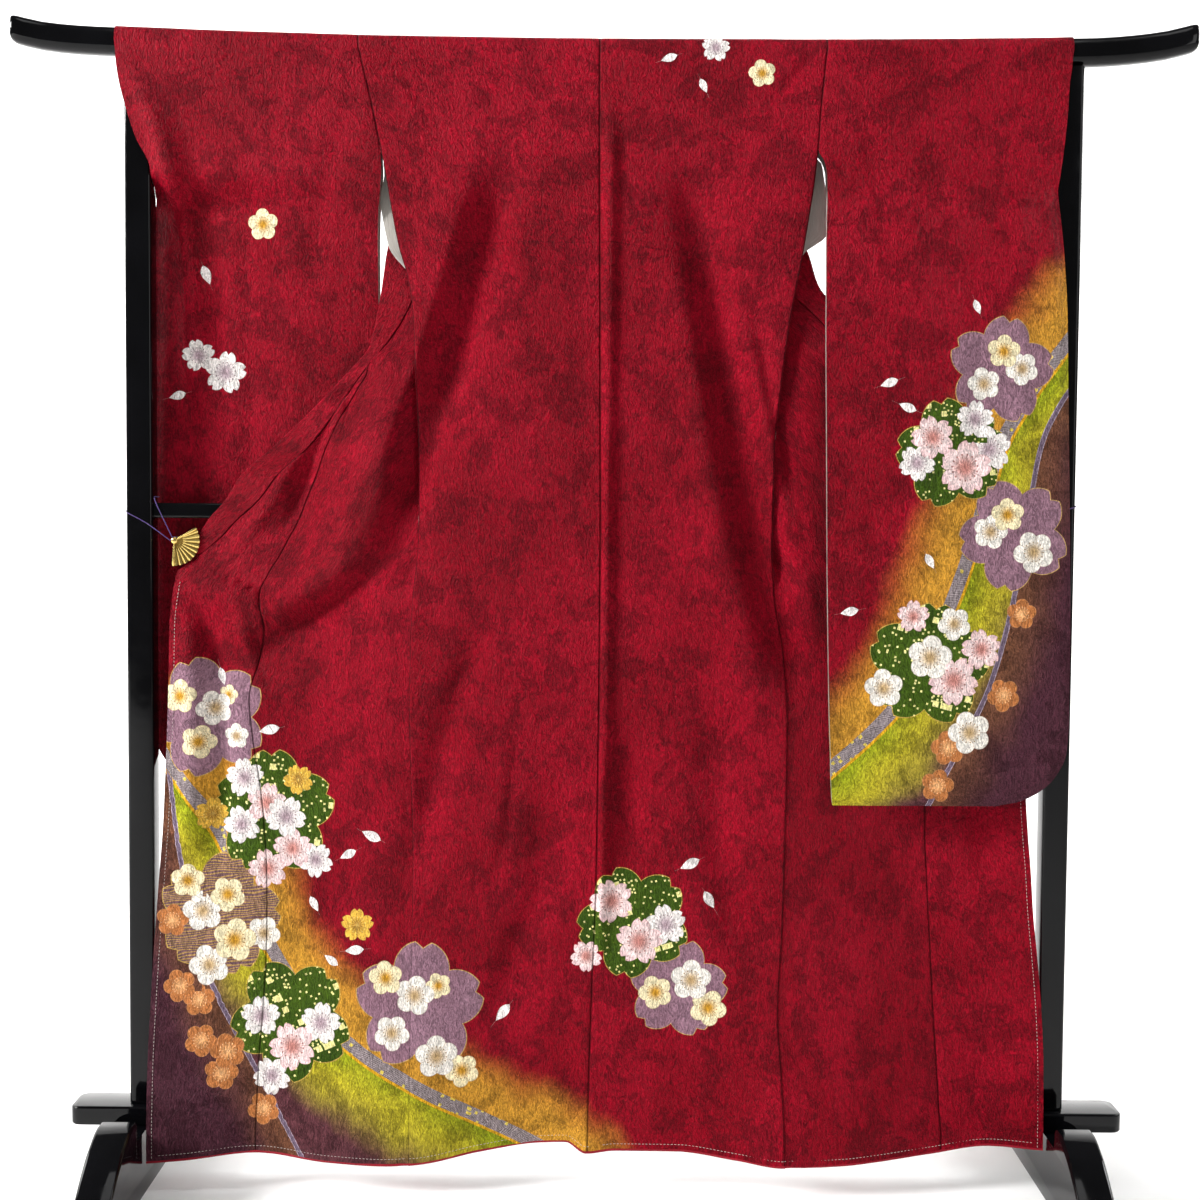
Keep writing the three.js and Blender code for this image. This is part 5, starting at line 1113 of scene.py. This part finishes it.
def collar_piece():
    """The collar band, folded lengthwise, round the neck and down both front edges."""
    nape = float(read(CENTRE, "x", 1655))
    rear = float(rod_point(180, SILK_WALL / 2 + ROD_CLEAR)[0])

    def seam_height(x):
        return NAPE["top"] - NAPE["fall"] * abs(x - nape) / NAPE["half"]

    def ends(side):
        s = SIDES[side]
        pairs = []
        rows = FRONT[side]

        def rolled(a, way):
            return a, (a[0] + s * way[0], a[1] + way[1], a[2] + way[2])
        for x, back, way in NECK_BEND:
            pairs.append(rolled((s * x, rear + back, seam_height(s * x)), way))
        for z, way in ROLL:
            at = np.array([float(z)])
            x = s * (float(read(rows, "collar", at)[0]) + SEAM_GAP)
            y = depth(np.array([x]), at)[0] + Front(side, at).lift[0] + BAND_BEHIND
            pairs.append(rolled((x, y, z), way))
        for z, edge, collar in zip(rows["z"], rows["edge"], rows["collar"]):
            if collar is None or z >= LEVEL["shoulder"]:
                continue
            upper = z >= LEVEL["turned"]
            at = np.array([float(z)])
            lift = Front(side, at).lift[0] + BAND_BEHIND

            def behind(x):
                return depth(np.array([s * x]), at)[0] + lift
            y = behind(collar) if upper else flap_depth(side, np.array([float(collar)]), at)[0]
            y_edge = max(y, behind(edge)) if upper else flap_depth(side, np.array([float(edge)]), at)[0]
            drop = float(smooth((z - LEVEL["sewn_sleeve"]) / 130)) * BAND_HANGS
            folded_edge = (s * edge, y_edge + (3 if upper else 0), z - drop)
            pairs.append(((s * (collar + SEAM_GAP), y, z), folded_edge))
        return pairs
    neck = [((x, rear + 1.2, seam_height(x)), (x * 1.15, rear + 2.8, 1596)) for x in (-50, nape, 46)]
    pairs = np.array(ends("left")[::-1] + neck + ends("right"), float)
    knots = np.concatenate([[0], np.cumsum(np.linalg.norm(np.diff(pairs.mean(1), axis=0), axis=1))])
    at = np.linspace(0, knots[-1], 300)
    smooth_pairs = np.stack([
        read(dict(k=knots.tolist(), v=pairs[:, e, c].tolist()), "v", at, "k")
        for e in (0, 1) for c in (0, 1, 2)], 1).reshape(-1, 2, 3)
    a, b = smooth_pairs[:, 0], smooth_pairs[:, 1]
    length = np.linalg.norm(b - a, axis=1)
    way = (b - a) / length[:, None]
    leaf = LEAF["radius"]
    # The turned-in leaf lies on the same side of the band all the way.
    side_of_leaf = np.cross(b - a, np.gradient(b, axis=0))
    side_of_leaf /= np.linalg.norm(side_of_leaf, axis=1)[:, None]
    low = smooth((1606 - a[:, 2:]) / 8)
    side_of_leaf = mix(side_of_leaf, np.array([0, 1.0, 0]), low)
    side_of_leaf /= np.linalg.norm(side_of_leaf, axis=1)[:, None]
    rows = []
    for t in np.linspace(0, 0.97, 12):
        rows.append(a + way * (t * (length - leaf))[:, None])
    for k in range(9):
        turn = k / 8 * math.pi
        rows.append(a + way * (length - leaf + leaf * math.sin(turn))[:, None]
                    + side_of_leaf * leaf * (1 - math.cos(turn)))
    for t in (0.3, 0.7, 1.0):
        last = mix(length - leaf, np.maximum(0.25 * length, length - LEAF["deep"]), t)
        rows.append(a + way * last[:, None] + side_of_leaf * 2 * leaf)
    grid = np.stack(rows, 1)
    along = np.broadcast_to(at[:, None], grid.shape[:2])
    run = np.linalg.norm(np.diff(grid, axis=1), axis=2)
    flat = np.concatenate([np.zeros((len(grid), 1)), np.cumsum(run, 1)], 1)
    sink = 0.25 * waviness(grid[:, :, 0] + grid[:, :, 2], along, 26, 60, 13)
    obj = cloth("folded_collar", grid, sink, -1, (grid[:, :, 0], grid[:, :, 2]),
                np.ones(grid.shape[:2]), "sleeve_left", [DYED_CREPE, DYED_CREPE], flat, along,
                thick=COLLAR_WALL, seam=flat + 0.9)
    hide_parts("collar")


def sleeve_piece(side, columns=66, step=8.0):
    """A sleeve: one strip, up the front layer, over the rod and down the rear layer."""
    s = SIDES[side]
    rows = SLEEVE[side]
    low = min(rows["z"])
    bottom = low + np.array([0, 1.5, 3, 5, 8, 12])
    up = np.concatenate([bottom, heights(low + 18, LEVEL["shoulder"], step)])[:, None]
    u = columns_of(340, columns)
    t = 1 - (1 - u) ** 0.8
    lean = 0.9 if side == "left" else 0.4

    def layer(kind, h):
        sewn = smooth((LEVEL["post_gap"] - h) / 20)
        middle = (read(rows, "front_out", h) + read(rows, "rear_out", h)) / 2
        inner = mix(read(rows, "inner", h), read(SIDE[side], "x", h) + SEAM_GAP, smooth((h - 1492) / 14))
        reach = read(rows, kind, h)
        x = mix(inner, reach, u)
        y = mix(read(rows, kind + "_in", h), read(rows, kind + "_out", h), smooth(t * 1.1))
        close = smooth((x - (reach - 26)) / 26) * sewn
        sign = -1 if kind == "front" else 1
        y = mix(y, middle + sign * (SILK_WALL / 2 + 0.3), close * close)
        fade = smooth((1400 - h) / 200) * smooth((h - 560) / 160)
        wave = 2.6 * np.sin(((x - 320) / 340 * 2.1 + h / 900 * lean) * np.pi)
        y = y + (fade * wave + folds(SLEEVE_FOLDS[side], s * x, h)) * (1 - close)
        return np.stack([s * x, y, np.broadcast_to(h, x.shape)], 2)
    over = over_rod(side, u, SLEEVE_REACH[side])
    grid = np.concatenate([layer("front", up), over, layer("rear", up[::-1])])
    run = np.linalg.norm(np.diff(grid[:, columns // 2], axis=0), axis=1)
    along = np.broadcast_to(np.concatenate([[0], np.cumsum(run)])[:, None], grid.shape[:2])
    flat = np.abs(grid[:, :, 0]) - 300
    inner_d = u * 340
    sewn_on = (grid[:, :, 2] > LEVEL["post_gap"]) * 1.0
    sink = seam_sink(inner_d, along, 6) * sewn_on
    free = smooth((1 - u) * 340 / 20) * smooth(inner_d / 12)
    # The closed layers keep their own unevenness small, so that they never meet.
    sink = sink + 0.5 * waviness(grid[:, :, 0], along, 30, 90, 14) * free
    sink[len(up):len(up) + len(over)] *= 0.3
    obj = cloth(f"dyed_sleeve_{side}", grid, sink, s, (grid[:, :, 0], grid[:, :, 2]),
                np.ones(grid.shape[:2]), f"sleeve_{side}", [SHADE_PAINTED_WHITE_LINING, SHADE_PAINTED_WHITE_LINING], flat, along,
                seam=np.where(grid[:, :, 2] > LEVEL["sewn_sleeve"], inner_d, NOWHERE))
    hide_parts(f"sleeve_{side}")


# ---- stitches and hem roll --------------------------------------------------------------------------
def stitched_line(line, face, pitch=5.2, long=3.0, thick=0.3):
    """Short basting stitches of one thread along a line, lying on the outer face."""
    line = np.asarray(line, float) + np.array(face, float)
    run = np.concatenate([[0], np.cumsum(np.linalg.norm(np.diff(line, axis=0), axis=1))])
    parts = []
    for k in range(int(run[-1] // pitch)):
        at = k * pitch + np.array([0, 0.12, 0.5, 0.88, 1]) * long
        bow = np.array([0.35, 0.1, -0.12, 0.1, 0.35])
        p = np.stack([np.interp(at, run, line[:, c]) for c in range(3)], 1)
        p[:, 1] += bow
        parts.append(tube(p, np.array([0.6, 1, 1, 1, 0.6]) * thick, sides=6))
    return joined(parts)


BASTED_BELOW = {"left": 890, "right": 940}      # the free edge is basted from the clip down


def edge_work(bodies, overlaps):
    """Basting along the free edges and the hem, and the padded roll of the lining under the hem."""
    for side, s in SIDES.items():
        flap, body = overlaps[side], bodies[side]
        far = flap[:, -1]
        keep = far[:, 2] < BASTED_BELOW[side]
        z = far[keep][:, 2]
        x = np.abs(far[keep][:, 0]) - 8
        edge = np.stack([s * x, flap_depth(side, x, z), z], 1)
        xs = np.arange(10, 640, 4.0)
        zs = read(HEM, "z", s * xs, "x") + 9
        on_flap = xs > read(SIDE[side], "x", LEVEL["hem"])
        y = np.where(on_flap, flap_depth(side, xs, zs), depth(s * xs, zs))
        hem = np.stack([s * xs, y, zs], 1)
        on_face = (0, -SILK_WALL / 2 - 0.25, 0)
        made = joined([stitched_line(edge, on_face), stitched_line(hem, on_face)])
        new_object(f"basting_{side}", *made, [THREAD], "silk_crepe")
        lines = []
        for low in (body[0], body[-1], flap[-1]):
            lines.append(tube(low + np.array([0, 0.4, 0.2]), 1.9, 10))
        roll = new_object(f"hem_roll_{side}", *joined(lines), [RED_LINING], "silk_crepe")
        where = np.array([v.co for v in roll.data.vertices]) * 1000
        note(roll.data, "weave_place", where[:, [0, 2, 1]])


# ---- the stand --------------------------------------------------------------------------------------
def stand_piece(name, node, points, faces, up_to=35):
    obj = new_object(name, *outward(points, faces), [LACQUER], "black_lacquer", smooth_up_to=up_to)
    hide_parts(node)


def stand():
    """Rod, uprights, feet, crossbar and lower rail."""
    turns = np.linspace(0, 360, 49)[:-1]
    ry, up = rod_point(turns, 0)
    outline = list(zip(ry, up))
    ends = [(-845, 0.80), (-844, 0.88), (-841.5, 0.95), (-838, 0.99), (-834, 1.0)]
    middle = [(x, 1.0) for x in range(-825, 826, 25)]
    stations = ends + middle + [(-x, size) for x, size in reversed(ends)]

    def ring(x, size):
        return lambda p: (x, p[0] * size, float(rod_height(x)) + p[1] * size)
    stand_piece("kimono_rod", "rod", *swept(outline, [ring(x, size) for x, size in stations]))
    for side, s in SIDES.items():
        outline = rounded_box(POST["wide"], POST["deep"], 5)
        x0 = s * POST["x"]
        top = float(min(rod_height(x0 - POST["wide"]), rod_height(x0 + POST["wide"]))) - ROD["high"] - 0.3
        levels = [POST["bottom"], POST["bottom"] + 1, 600, 1100, top - 1, top]
        inset = [1, 0, 0, 0, 0, 1]
        stand_piece(f"upright_{side}", f"post_{side}", *swept(outline, [
            (lambda p, z=z, i=i: (x0 + p[0] * (1 - i / POST["wide"]), p[1] * (1 - i / POST["deep"]), z))
            for z, i in zip(levels, inset)]))
        stand_piece(f"curved_foot_{side}", f"foot_{side}", *foot_form(s))
    outline = rounded_box(BAR["deep"], BAR["high"], 3.5)
    reach = POST["x"] - POST["wide"] - 0.3
    stand_piece("cross_rail", "crossbar", *swept(outline, [
        (lambda p, x=x: (x, p[0], BAR["z"] + p[1])) for x in (-reach, -300, 0, 300, reach)]))
    outline = rounded_box(BOARD["long"], BOARD["deep"], 14, steps=8)
    low, high = BOARD["z"] - BOARD["high"], BOARD["z"] + BOARD["high"]
    levels = [(low, 3.0), (low + 0.8, 1.2), (low + 3, 0), (high - 3, 0), (high - 1.6, 0.4),
              (high - 0.5, 1.6), (high, 3.0)]
    stand_piece("foot_rail", "lower_rail", *swept(outline, [
        (lambda p, z=z, i=i: (p[0] * (1 - i / BOARD["long"]), p[1] * (1 - i / BOARD["deep"]), z))
        for z, i in levels]))


FOOT_TOP = table("out high", [
    (94, 119), (108, 119), (150, 105), (190, 81), (225, 52), (252, 20), (258, 4), (258, 0)])


def foot_form(s):
    """A curved foot: flat seat under the rail, top falling in a smooth arch to each toe."""
    run = np.array(list(zip(FOOT_TOP["out"], FOOT_TOP["high"])), float)
    knots = np.concatenate([[0], np.cumsum(np.linalg.norm(np.diff(run, axis=0), axis=1))])
    at = np.concatenate([np.linspace(knots[0], knots[-2], 40), [knots[-1]]])
    rows = dict(k=knots.tolist(), out=run[:, 0].tolist(), high=run[:, 1].tolist())
    out, high = read(rows, "out", at, "k"), read(rows, "high", at, "k")
    out = np.minimum(out, 258)
    outline = [(-o, h) for o, h in zip(out[::-1], high[::-1])]
    outline += [(-FOOT["seat_half"], FOOT["seat"]), (FOOT["seat_half"], FOOT["seat"])]
    outline += list(zip(out, high))

    def place(x, inset):
        def put(p):
            y, z = p
            seat = z > 40 and abs(y) <= FOOT["seat_half"] + 0.5
            lifted = 0 if seat or z < 40 else inset
            pull = math.copysign(inset * 0.8, y) * float(smooth((abs(y) - 150) / 80))
            return (s * x, y - pull, z - lifted if z > 0 else z)
        return put
    inner, outer = FOOT["inner"], FOOT["outer"]
    steps = [(0, 5.0), (0.4, 3.1), (1.5, 1.5), (3.1, 0.4), (5.0, 0)]
    stations = [place(inner + dx, i) for dx, i in steps]
    stations += [place(outer - dx, i) for dx, i in reversed(steps)]
    return swept(outline, stations)


# ---- fan clips and their cords ----------------------------------------------------------------------
CLIPS = {"left": dict(x=-612, z=944, y=-21.6, tilt=-32), "right": dict(x=634, z=985, y=-21, tilt=212)}


def fan_clip(side):
    """Open folding fan in gilt brass: pleated leaf, guard sticks, hub with a ring, and the jaw behind."""
    sticks_end = 13.5      # the bare sticks show up to here, and the pleated leaf starts
    at = CLIPS[side]
    spread, ribs, radius = 122, 10, 37.0
    per = 12
    count = ribs * per
    angles = [math.radians(at["tilt"] - spread / 2 + spread * i / count) for i in range(count + 1)]
    phase = [abs(((i / per) % 1) * 2 - 1) for i in range(count + 1)]
    radii = [4.5, 6, 7.5, 9, 10.5, 12, 13.2, 13.8, 17, 21, 25, 29, 32.5, 34.6, 36.4]
    face, rear, groove = [], [], []
    for r in radii:
        for a, ph in zip(angles, phase):
            reach = r - (1.6 * ph**2 if r > 34 else 0)
            deep = 1.1 * (r / radius) * (1 - ph)
            inner = 0.9 * (r < sticks_end) * (0.5 + 0.5 * math.sin(r * 4.2 + ph * 3))
            x, z = at["x"] + reach * math.cos(a), at["z"] + reach * math.sin(a)
            face.append((x, at["y"] - 0.9 - deep + inner * 0.3, z))
            rear.append((x, at["y"] + 0.9, z))
            groove.append(ph if r > sticks_end else 0.3 + inner * 0.6)
    n = count + 1
    half = len(face)
    faces = []
    for k in range(len(radii) - 1):
        for i in range(count):
            q = (k * n + i, k * n + i + 1, (k + 1) * n + i + 1, (k + 1) * n + i)
            faces += [q, tuple(v + half for v in q[::-1])]
    border = ([k * n for k in range(len(radii))] + [(len(radii) - 1) * n + i for i in range(1, n)]
              + [k * n + count for k in range(len(radii) - 2, -1, -1)] + list(range(count - 1, 0, -1)))
    for i, j in zip(border, border[1:] + border[:1]):
        faces.append((i, j, j + half, i + half))
    parts = [outward(face + rear, faces)]
    for a in (angles[0], angles[-1]):
        line = [(at["x"] + r * math.cos(a), at["y"] - 1.2, at["z"] + r * math.sin(a))
                for r in (3, 12, 24, 33, 36.6)]
        parts.append(outward(*tube(line, [1.3, 1.7, 2.1, 2.3, 1.4], 10)))
    hub = [(at["x"], at["y"] + d, at["z"]) for d in (-4.4, -4.0, -2.6, 0, 3.6, 8.1)]
    parts.append(outward(*tube(hub, [1.5, 3.6, 5.0, 5.2, 4.6, 4.2], 24)))
    mid = math.radians(at["tilt"])
    jaw_y = at["y"] + 8.8
    jaw = [(at["x"] + u * math.cos(mid), jaw_y, at["z"] + u * math.sin(mid)) for u in (-2, 4, 18, 30, 34)]
    jaw_points, jaw_faces = outward(*tube(jaw, [5.5, 6.5, 8.5, 8.5, 3.0], 16))
    # The jaw is a flat blade: a round tube pressed to a twelfth of its depth.
    parts.append(([(x, jaw_y + (y - jaw_y) * 0.08, z) for x, y, z in jaw_points], jaw_faces))
    points, faces = joined(parts)
    obj = new_object(f"gilt_fan_{side}", points, faces, [GILT], "gilt_metal", smooth_up_to=42)
    depth_of = groove + [0.3] * half + [0.1] * (len(points) - 2 * half)
    note(obj.data, "groove", depth_of, "FLOAT")
    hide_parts(f"clip_{side}")


def spline(points, count):
    """Even points on a smooth curve through the given ones."""
    p = np.array(points, float)
    p = np.vstack([2 * p[0] - p[1], p, 2 * p[-1] - p[-2]])
    out = []
    for i in range(1, len(p) - 2):
        for t in np.linspace(0, 1, 24, endpoint=False):
            m0, m1 = (p[i + 1] - p[i - 1]) * 0.35, (p[i + 2] - p[i]) * 0.35
            out.append((2 * t**3 - 3 * t**2 + 1) * p[i] + (t**3 - 2 * t**2 + t) * m0
                       + (3 * t**2 - 2 * t**3) * p[i + 1] + (t**3 - t**2) * m1)
    out = np.array(out + [p[-2]])
    run = np.concatenate([[0], np.cumsum(np.linalg.norm(np.diff(out, axis=0), axis=1))])
    at = np.linspace(0, run[-1], count)
    return np.stack([np.interp(at, run, out[:, c]) for c in range(3)], 1), run[-1]


def tie_cord(side):
    """Cord tied from the fan's hub round the upright and back, of two twisted strands."""
    s = SIDES[side]
    at = CLIPS[side]
    x, y, z = at["x"], at["y"], at["z"]
    near, far = s * (POST["x"] - POST["wide"] - 1.6), s * (POST["x"] + POST["wide"] + 1.6)
    deep = POST["deep"] + 1.8
    high, low = (1006, 985) if side == "left" else (1005, 1003)
    if side == "left":
        start, close = (x - 4, y + 4, z + 3.6), (x - 6.2, y + 2.4, z - 0.5)
    else:
        start, close = (x + 4, y + 5, z + 4), (x + 6.4, y + 3, z + 0.5)
    path = [start, (mix(x, near, 0.8), -20.5, mix(z, high, 0.8)), (near, -12, high), (near, 10, high + 0.5),
            (near + s * 4, deep, high), (far - s * 4, deep, mix(high, low, 0.4)),
            (far, 10, mix(high, low, 0.7)), (far, -12, low), (far - s * 4, -deep - 1, low - 1.5),
            (mix(far, x, 0.45), -22.2, mix(low, z, 0.4)), close]
    line, length = spline(path, 420)
    way = np.gradient(line, axis=0)
    way /= np.linalg.norm(way, axis=1)[:, None]
    a = np.cross(way, (0.0, 0.0, 1.0))
    a /= np.linalg.norm(a, axis=1)[:, None] + 1e-9
    b = np.cross(a, way)
    turn = np.linspace(0, length / 2.6 * 2 * np.pi, len(line))[:, None]
    strands = []
    for start_turn in (0, np.pi):
        off = 0.36 * (np.cos(turn + start_turn) * a + np.sin(turn + start_turn) * b)
        strands.append(tube(line + off, 0.42, 6))
    loop = 5.2 * 0.98
    knot, _ = spline([(x + loop * math.cos(t), y + 1.6 + 0.7 * math.sin(2 * t), z + loop * math.sin(t))
                      for t in np.linspace(0, 2 * math.pi, 13)], 60)
    strands.append(tube(knot, 0.6, 6))
    obj = new_object(f"purple_tie_{side}", *joined(strands), [CORD], "purple_cord", smooth_up_to=80)
    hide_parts(f"tie_cord_{side}")


# ---- light, floor and camera ------------------------------------------------------------------------
def studio():
    """Floor swept up into a backdrop, lamps, world and camera."""
    start, radius = 1.0, 1.6       # the floor sweeps up into the backdrop
    line = [(-6.0, 0.0), (start, 0.0)] + [(start + radius * math.sin(a), radius - radius * math.cos(a))
                                          for a in np.linspace(0.1, math.pi / 2, 14)] + [(2.6, 5.0)]
    points = [(x, y, z) for y, z in line for x in (-7.0, 7.0)]
    faces = [(2 * i, 2 * i + 1, 2 * i + 3, 2 * i + 2) for i in range(len(line) - 1)]
    mesh = bpy.data.meshes.new("floor")
    mesh.from_pydata(points, [], faces)
    mesh.materials.append(PAPER)
    mesh.polygons.foreach_set("use_smooth", np.ones(len(faces), bool))
    floor = bpy.data.objects.new("floor", mesh)
    bpy.context.scene.collection.objects.link(floor)
    middle = (0, 0, 0.9)
    # Each lamp: place, what it looks at, width, height, power.  All in metres and watts.
    lamps = [("key", (-8.0, -3.4, 4.4), middle, 2.2, 2.2, 1480),
             ("fill", (3.2, -3.4, 1.8), middle, 1.6, 2.4, 30),
             ("top", (0.0, -0.9, 3.6), middle, 2.4, 1.2, 20),
             ("wall_left", (-3.2, 0.6, 2.5), (-0.6, 2.6, 1.2), 1.6, 1.6, 105),
             ("wall_right", (3.2, 0.6, 2.5), (0.6, 2.6, 1.2), 1.6, 1.6, 105)]
    for name, at, aim, wide, tall, power in lamps:
        lamp = bpy.data.lights.new(name, "AREA")
        lamp.shape, lamp.size, lamp.size_y, lamp.energy = "RECTANGLE", wide, tall, power
        holder = bpy.data.objects.new(name, lamp)
        holder.location = at
        holder.rotation_euler = (Vector(aim) - Vector(at)).to_track_quat("-Z", "Y").to_euler()
        bpy.context.scene.collection.objects.link(holder)
    world = bpy.data.worlds.new("studio")
    world.use_nodes = True
    world.node_tree.nodes["Background"].inputs[0].default_value = (1, 1, 1, 1)
    world.node_tree.nodes["Background"].inputs[1].default_value = 0.15
    bpy.context.scene.world = world
    bpy.context.scene.view_settings.view_transform = "Standard"
    lens = bpy.data.cameras.new("view")
    lens.lens, lens.sensor_width, lens.sensor_height, lens.sensor_fit = 51.72, 36, 36, "HORIZONTAL"
    view = bpy.data.objects.new("view", lens)
    view.matrix_world = (Matrix.Translation((0, -2.5, 0.993)) @ Matrix.Rotation(math.radians(87), 4, "X")
                         @ Matrix.Rotation(math.radians(0.45), 4, "Z"))
    bpy.context.scene.collection.objects.link(view)
    bpy.context.scene.camera = view


bodies = {side: body_piece(side) for side in SIDES}
overlaps = {side: overlap_piece(side) for side in SIDES}
collar_piece()
for side in SIDES:
    sleeve_piece(side)
    fan_clip(side)
    tie_cord(side)
edge_work(bodies, overlaps)
stand()
studio()
